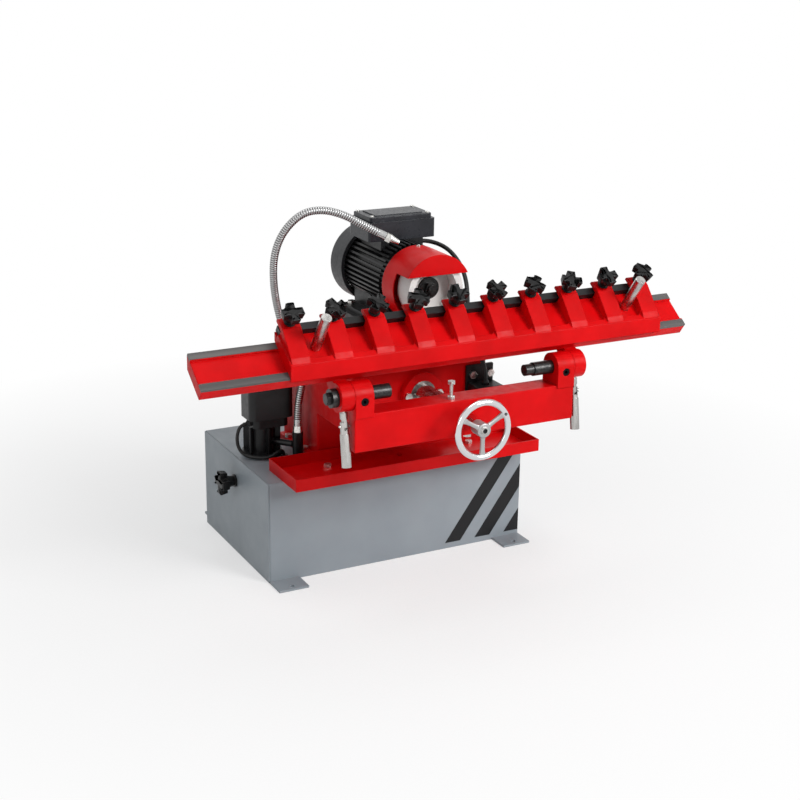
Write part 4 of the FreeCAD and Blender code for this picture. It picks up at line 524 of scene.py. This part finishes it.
def turned_axis(axis, place):
    """A frame at the place whose Z runs along the axis."""
    return Matrix.Translation(place) @ axis.to_track_quat("Z", "Y").to_matrix().to_4x4()


def lobe_reach(angle):
    """How far the knob's outline stands from its middle, as a share of its half width."""
    step = 360.0 / KNOB_LOBES
    from_lobe = abs((math.degrees(angle) + step / 2) % step - step / 2)
    for waist_angle, share in KNOB_WAIST_SHARES.items():
        if abs(from_lobe - waist_angle) < 1.0:
            return share
    return KNOB_LOBE_END_SHARE / math.cos(math.radians(from_lobe))


def star_knob(across, neck, head):
    """A moulded knob up from the origin: lobes that flare to blunt ends, on a waisted neck with a foot."""
    shape = bmesh.new()
    made = bmesh.ops.create_circle(shape, cap_ends=True, segments=KNOB_SIDES, radius=across / 2)
    bottom = made["verts"]
    for vert in bottom:
        vert.co *= lobe_reach(math.atan2(vert.co.y, vert.co.x))
    bmesh.ops.translate(shape, verts=bottom, vec=(0, 0, neck))
    bmesh.ops.recalc_face_normals(shape, faces=shape.faces)
    grown = bmesh.ops.extrude_face_region(shape, geom=list(shape.faces))["geom"]
    top = [item for item in grown if isinstance(item, bmesh.types.BMVert)]
    bmesh.ops.translate(shape, verts=top, vec=(0, 0, head))
    bmesh.ops.scale(shape, verts=bottom, vec=(KNOB_UNDERSIDE_SHARE, KNOB_UNDERSIDE_SHARE, 1.0))
    lids = [face for face in shape.faces if abs(face.normal.z) > 0.9]
    rims = {edge for face in lids for edge in face.edges}
    sides = [edge for edge in shape.edges if edge not in rims]
    corners = [edge for edge in sides if edge.calc_face_angle(0) > KNOB_CORNER]
    bevel_edges(shape, list(rims) + corners, across * KNOB_ROUNDING)
    crown = max(shape.faces, key=lambda face: face.calc_center_median().z)
    for inset, rise in ((0.045, 0.012), (0.045, 0.006)):
        bmesh.ops.inset_region(shape, faces=[crown], thickness=across * inset, use_even_offset=False)
        bmesh.ops.translate(shape, verts=crown.verts, vec=(0, 0, across * rise))
    foot = across * KNOB_FOOT_SHARE
    for radius_low, radius_high, low, high in (
        (foot * 1.06, foot * 1.12, 0, neck * 0.22),
        (foot * 0.80, foot * 1.16, neck * 0.18, neck + head * 0.3),
    ):
        middle = Matrix.Translation((0, 0, (low + high) / 2))
        made = bmesh.ops.create_cone(
            shape, cap_ends=True, segments=32, radius1=radius_low, radius2=radius_high,
            depth=high - low, matrix=middle,
        )
        rims = {edge for vert in made["verts"] for edge in vert.link_edges if len(edge.link_faces) == 2}
        rims = [edge for edge in rims if edge.calc_face_angle(0) > math.radians(60)]
        bevel_edges(shape, rims, across * 0.02, 2)
    return shape


def knob_place(index):
    reach = Vector((0, math.cos(SLOPE), math.sin(SLOPE))) * KNOB_REACH
    rise = Vector((0, -math.sin(SLOPE), math.cos(SLOPE)))
    place = TRACK_ORIGIN + Vector((FIRST_RIB_X + RIB_PITCH * index, 0, 0)) + reach + rise * KNOB_BASE
    return turned_axis(rise, place) @ Matrix.Rotation(KNOB_TURN * index, 4, "Z")


def knob_stud(shape, radius, start, end, matrix):
    middle = matrix @ Matrix.Translation((0, 0, (start + end) / 2))
    bmesh.ops.create_cone(
        shape, cap_ends=True, segments=20, radius1=radius, radius2=radius, depth=end - start, matrix=middle,
    )


def clamp_knobs():
    for index in range(KNOB_COUNT):
        name = f"clamp_knob_{index + 1:02d}"
        shape = star_knob(KNOB_ACROSS, KNOB_NECK, KNOB_HEAD)
        bmesh.ops.transform(shape, matrix=knob_place(index), verts=shape.verts)
        knob = make_piece(f"{name}_head", shape, moulded_black, name)
        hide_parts(name)
        stud = bmesh.new()
        knob_stud(stud, KNOB_STUD_RADIUS, CLAMP_STUD_END, KNOB_STUD_TOP, knob_place(index))
        make_piece(f"{name}_stud", stud, zinc_plate, name)


def panel_knob():
    matrix = turned_axis(Vector((-1, 0, 0)), PANEL_KNOB_PLACE)
    shape = star_knob(PANEL_KNOB_ACROSS, PANEL_KNOB_NECK, PANEL_KNOB_HEAD)
    bmesh.ops.transform(shape, matrix=matrix, verts=shape.verts)
    knob = make_piece("panel_knob_head", shape, moulded_black, "panel_knob")
    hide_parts("panel_knob")
    stud = bmesh.new()
    knob_stud(stud, KNOB_STUD_RADIUS, PANEL_STUD_END, KNOB_STUD_TOP, matrix)
    make_piece("panel_knob_stud", stud, zinc_plate, "panel_knob")


def wheel_rim():
    """The round rim, polished all over."""
    middle = Vector((0, WHEEL_Y, FEED_Z))
    shape = bmesh.new()
    section = Matrix.Translation(middle + Vector((WHEEL_RIM_MIDDLE, 0, 0)))
    circle = bmesh.ops.create_circle(
        shape, cap_ends=False, segments=28, radius=WHEEL_RIM_RADIUS, matrix=section,
    )
    bmesh.ops.spin(
        shape, geom=circle["verts"] + list(shape.edges), cent=middle, axis=(0, 1, 0),
        angle=2 * math.pi, steps=120, use_merge=True,
    )
    rim = make_piece("handwheel_rim", shape, bright_handwheel, "handwheel")
    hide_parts("handwheel")


def wheel_spoke(shape):
    """One spoke up along Z: it flares into the hub at its root and into the rim at its tip."""
    bar = Matrix.Translation((0, 0, WHEEL_RIM_MIDDLE / 2)) @ Matrix.Diagonal(
        (WHEEL_SPOKE_WIDTH, WHEEL_SPOKE_THICKNESS, WHEEL_RIM_MIDDLE, 1)
    )
    bmesh.ops.create_cube(shape, size=1.0, matrix=bar)
    upright = [edge for edge in shape.edges if is_upright(edge)]
    bmesh.ops.subdivide_edges(shape, edges=upright, cuts=7)
    for vert in shape.verts:
        share = vert.co.z / WHEEL_RIM_MIDDLE
        at_rim = 0.55 * max(0.0, share - 0.62) ** 2 / 0.12
        at_hub = 0.75 * max(0.0, 0.42 - share) ** 2 / 0.12
        vert.co.x *= 0.80 + at_rim + at_hub
        vert.co.y *= 0.86 + 0.22 * abs(share - 0.5) * 2


def is_upright(edge):
    run = (edge.verts[1].co - edge.verts[0].co).normalized()
    return abs(run.z) > 0.9


def wheel_spider():
    """Hub and spokes, melted together by a fine remesh into one casting with rounded roots."""
    middle = Vector((0, WHEEL_Y, FEED_Z))
    shape = bmesh.new()
    wheel_spoke(shape)
    step = 2 * math.pi / WHEEL_SPOKES
    bmesh.ops.rotate(shape, verts=shape.verts, cent=(0, 0, 0), matrix=Matrix.Rotation(step / 2, 3, "Y"))
    spoke = list(shape.verts) + list(shape.edges) + list(shape.faces)
    bmesh.ops.spin(
        shape, geom=spoke, cent=(0, 0, 0), axis=(0, 1, 0),
        angle=step * (WHEEL_SPOKES - 1), steps=WHEEL_SPOKES - 1, use_duplicate=True,
    )
    bmesh.ops.translate(shape, verts=shape.verts, vec=middle)
    boss = Matrix.Translation(Vector((0, (WHEEL_HUB_FRONT_Y + WHEEL_HUB_BACK_Y) / 2, FEED_Z)))
    boss = boss @ Matrix.Rotation(math.radians(90), 4, "X")
    bmesh.ops.create_cone(
        shape, cap_ends=True, segments=48, radius1=WHEEL_HUB_RADIUS, radius2=WHEEL_HUB_RADIUS,
        depth=WHEEL_HUB_BACK_Y - WHEEL_HUB_FRONT_Y, matrix=boss,
    )
    spider = make_piece("handwheel_spider", shape, bright_handwheel, "handwheel")
    grain = spider.modifiers.new("one_casting", "REMESH")
    grain.mode = "VOXEL"
    grain.voxel_size = WHEEL_GRAIN
    grain.use_smooth_shade = True
    rounding = spider.modifiers.new("cast_rounding", "SMOOTH")
    rounding.factor = 0.6
    rounding.iterations = 9


def round_head(name, place, radius, height, material, recess=0.0):
    """A screw head or plug that faces the operator, with a hexagon recess where it has one."""
    shape = bmesh.new()
    matrix = Matrix.Translation(place) @ Matrix.Rotation(math.radians(90), 4, "X")
    bmesh.ops.create_cone(
        shape, cap_ends=True, segments=32, radius1=radius, radius2=radius, depth=height, matrix=matrix,
    )
    caps = [face for face in shape.faces if len(face.verts) > 4]
    bevel_edges(shape, list({edge for face in caps for edge in face.edges}), radius * 0.14, 3)
    if recess:
        front = min(shape.faces, key=lambda face: face.calc_center_median().y)
        bmesh.ops.inset_region(shape, faces=[front], thickness=radius * 0.28, use_even_offset=True)
        for vert in front.verts:
            around = vert.co - place
            angle = math.atan2(around.z, around.x)
            sector = abs((angle + math.pi / 6) % (math.pi / 3) - math.pi / 6)
            flat = recess * math.cos(math.pi / 6) / math.cos(sector)
            vert.co.x = place.x + math.cos(angle) * flat
            vert.co.z = place.z + math.sin(angle) * flat
        bottom = bmesh.ops.extrude_discrete_faces(shape, faces=[front])["faces"][0]
        bmesh.ops.translate(shape, verts=bottom.verts, vec=(0, height * 0.45, 0))
    return make_piece(name, shape, material, "handwheel")


def handwheel():
    wheel_rim()
    wheel_spider()
    hub_front = Vector((0, WHEEL_HUB_FRONT_Y, FEED_Z))
    round_head(
        "handwheel_washer", hub_front, WHEEL_SCREW_RADIUS * 1.5, 1.4 * MM, zinc_plate,
    )
    screw_place = hub_front + Vector((0, -0.9 * MM, 0))
    round_head(
        "handwheel_screw", screw_place, WHEEL_SCREW_RADIUS, 2.2 * MM, black_oxide,
        recess=WHEEL_SCREW_RADIUS * 0.55,
    )
    spoke_end = Vector((math.cos(WHEEL_PLUG_ANGLE), 0, math.sin(WHEEL_PLUG_ANGLE))) * WHEEL_PLUG_REACH
    plug_place = Vector((0, WHEEL_Y - WHEEL_RIM_RADIUS + 0.3 * MM, FEED_Z)) + spoke_end
    round_head(
        "handwheel_plug", plug_place, WHEEL_PLUG_RADIUS, 2.0 * MM, black_oxide,
        recess=1.3 * MM,
    )


# Cables and hose

def smooth_route(name, route):
    """The route as an open curve that its points pull smooth, in metres."""
    curve = bpy.data.curves.new(name, "CURVE")
    curve.dimensions = "3D"
    curve.resolution_u = 12
    spline = curve.splines.new("NURBS")
    spline.points.add(len(route) - 1)
    for point, place in zip(spline.points, route):
        point.co = (*(Vector(place) * MM), 1)
    spline.order_u = 3
    spline.use_endpoint_u = True
    made = bpy.data.objects.new(name, curve)
    bpy.context.scene.collection.objects.link(made)
    return made


def cable(name, route, radius, node):
    made = smooth_route(name, route)
    made.data.bevel_depth = radius
    made.data.bevel_resolution = 5
    made.data.use_fill_caps = True
    made.data.materials.append(cable_rubber)
    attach(made, "base")
    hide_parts(node)
    return made


def line_of(route):
    """Points of the route's smooth curve."""
    guide = smooth_route("route_guide", route)
    mesh = bpy.data.meshes.new_from_object(guide)
    points = [vert.co.copy() for vert in mesh.vertices]
    bpy.data.meshes.remove(mesh)
    bpy.data.objects.remove(guide)
    return points


def walk(points, step):
    """Places every step along a line of points, each with its direction, and the line's length."""
    stations = []
    done = 0.0
    target = 0.0
    for first, second in zip(points, points[1:]):
        run = (second - first).length
        while target <= done + run + 1e-9 and run > 0:
            share = (target - done) / run
            stations.append((first.lerp(second, share), (second - first).normalized()))
            target += step
        done += run
    return stations, done


def coolant_hose():
    points = line_of(HOSE_ROUTE)
    length = sum((b - a).length for a, b in zip(points, points[1:]))
    step = (length - 2 * HOSE_CUFF) / (HOSE_RIBS * HOSE_STEPS_PER_RIB)
    stations, length = walk(points, step)
    cuff_steps = round(HOSE_CUFF / step)
    shape = bmesh.new()
    crown = shape.verts.layers.float.new("rib_crown")
    turn = stations[0][1].to_track_quat("Z", "Y")
    last = None
    for number, (place, direction) in enumerate(stations):
        turn = turn.to_matrix().col[2].copy().rotation_difference(direction) @ turn
        on_ribs = cuff_steps <= number <= len(stations) - 1 - cuff_steps
        phase = (number - cuff_steps) % HOSE_STEPS_PER_RIB / HOSE_STEPS_PER_RIB
        height = (0.5 - 0.5 * math.cos(2 * math.pi * phase)) ** 0.5 if on_ribs else 1.0
        radius = HOSE_ROOT_RADIUS + (HOSE_RADIUS - HOSE_ROOT_RADIUS) * height
        matrix = Matrix.Translation(place) @ turn.to_matrix().to_4x4()
        matrix = matrix @ Matrix.Diagonal((radius, radius, 1, 1))
        if last is None:
            ring = bmesh.ops.create_circle(
                shape, cap_ends=True, segments=HOSE_SIDES, radius=1.0, matrix=matrix,
            )["verts"]
        else:
            rim = [edge for edge in shape.edges if edge.verts[0] in last_ring and edge.verts[1] in last_ring]
            grown = bmesh.ops.extrude_edge_only(shape, edges=rim)["geom"]
            ring = [item for item in grown if isinstance(item, bmesh.types.BMVert)]
            bmesh.ops.transform(shape, matrix=matrix @ last.inverted(), verts=ring)
        for vert in ring:
            vert[crown] = height
        last = matrix
        last_ring = set(ring)
    rim = [edge for edge in shape.edges if edge.verts[0] in last_ring and edge.verts[1] in last_ring]
    bmesh.ops.contextual_create(shape, geom=rim)
    hose = make_piece("gooseneck_hose", shape, gooseneck_steel, "base", crease=60)
    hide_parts("coolant_hose")


# Floor, light and camera

def studio():
    floor_shape = bmesh.new()
    bmesh.ops.create_grid(floor_shape, x_segments=1, y_segments=1, size=FLOOR_SIZE)
    mesh = bpy.data.meshes.new("studio_floor")
    floor_shape.to_mesh(mesh)
    floor_shape.free()
    floor = bpy.data.objects.new("studio_floor", mesh)
    bpy.context.scene.collection.objects.link(floor)
    mesh.materials.append(floor_finish())
    studio_air()
    for lamp in SOFTBOXES:
        softbox(*lamp)


def studio_air():
    """Plain soft light on the object, and white wherever the backdrop is seen, mirrored or looked through."""
    world = bpy.data.worlds.new("studio_world")
    bpy.context.scene.world = world
    world.use_nodes = True
    tree = world.node_tree
    backdrop = tree.nodes["Background"]
    backdrop.inputs["Color"].default_value = STUDIO_WHITE
    ambient = tree.nodes.new("ShaderNodeBackground")
    ambient.inputs["Color"].default_value = STUDIO_AMBIENT
    air = mix_shaders(
        tree, seen_directly(tree), ambient.outputs["Background"], backdrop.outputs["Background"],
    )
    tree.links.new(air, tree.nodes["World Output"].inputs["Surface"])


def seen_directly(tree):
    """1 for rays from the eye and for those that a surface mirrors or lets through, 0 for the rest."""
    path = tree.nodes.new("ShaderNodeLightPath")
    mirrored = sum_of(tree, "MAXIMUM", path.outputs["Is Camera Ray"], path.outputs["Is Glossy Ray"])
    return sum_of(tree, "MAXIMUM", mirrored, path.outputs["Is Transmission Ray"])


def mix_shaders(tree, share, first, second):
    mix = tree.nodes.new("ShaderNodeMixShader")
    feed(tree, mix.inputs["Fac"], share)
    tree.links.new(first, mix.inputs[1])
    tree.links.new(second, mix.inputs[2])
    return mix.outputs["Shader"]


def floor_finish():
    """Pale paper: white to the eye, with the object's soft shadow kept near it."""
    material, tree, shader = start_material("pale_studio_paper", (0.90, 0.90, 0.90), 0.9)
    shader.inputs["Specular IOR Level"].default_value = 0.1
    fibre = spread(tree, noise(tree, 4 * MM, 3.0), 0, 1)
    colour = blend_colours(tree, fibre, (0.86, 0.86, 0.86), (0.90, 0.90, 0.90))
    tree.links.new(colour, shader.inputs["Base Color"])
    glow = tree.nodes.new("ShaderNodeEmission")
    glow.inputs["Color"].default_value = STUDIO_WHITE
    reach = tree.nodes.new("ShaderNodeVectorMath")
    reach.operation = "LENGTH"
    tree.links.new(place_of(tree), reach.inputs[0])
    glowing = spread(tree, reach.outputs["Value"], *FLOOR_GLOW_SHARE, *FLOOR_GLOW_REACH)
    seen = mix_shaders(tree, glowing, shader.outputs["BSDF"], glow.outputs["Emission"])
    paper = mix_shaders(tree, seen_directly(tree), shader.outputs["BSDF"], seen)
    tree.links.new(paper, tree.nodes["Material Output"].inputs["Surface"])
    return material


def softbox(name, place, size, power):
    light = bpy.data.lights.new(name, "AREA")
    light.shape = "SQUARE"
    light.size = size
    light.energy = power
    lamp = bpy.data.objects.new(name, light)
    lamp.location = place
    lamp.rotation_mode = "QUATERNION"
    lamp.rotation_quaternion = (SOFTBOX_AIM - Vector(place)).to_track_quat("-Z", "Y")
    bpy.context.scene.collection.objects.link(lamp)


def photo_camera():
    forward = Vector((
        math.sin(CAMERA_YAW) * math.cos(CAMERA_PITCH),
        math.cos(CAMERA_YAW) * math.cos(CAMERA_PITCH),
        -math.sin(CAMERA_PITCH),
    ))
    level = Vector((math.cos(CAMERA_YAW), -math.sin(CAMERA_YAW), 0))
    upright = level.cross(forward)
    right = level * math.cos(CAMERA_ROLL) + upright * math.sin(CAMERA_ROLL)
    top = upright * math.cos(CAMERA_ROLL) - level * math.sin(CAMERA_ROLL)
    data = bpy.data.cameras.new("photo_camera")
    data.lens = CAMERA_LENS
    data.sensor_width = CAMERA_SENSOR
    camera = bpy.data.objects.new("photo_camera", data)
    turn = Matrix((right, top, -forward)).transposed().to_4x4()
    camera.matrix_world = Matrix.Translation(CAMERA_PLACE) @ turn
    bpy.context.scene.collection.objects.link(camera)
    bpy.context.scene.camera = camera


photo_camera()
studio()
bpy.context.scene.view_settings.view_transform = "Standard"
dress_nodes()
cable("motor_cable_lead", MOTOR_CABLE_ROUTE, MOTOR_CABLE_RADIUS, "motor_cable")
cable("pump_cable_lead", PUMP_CABLE_ROUTE, PUMP_CABLE_RADIUS, "pump_cable")
coolant_hose()
clamp_knobs()
panel_knob()
handwheel()
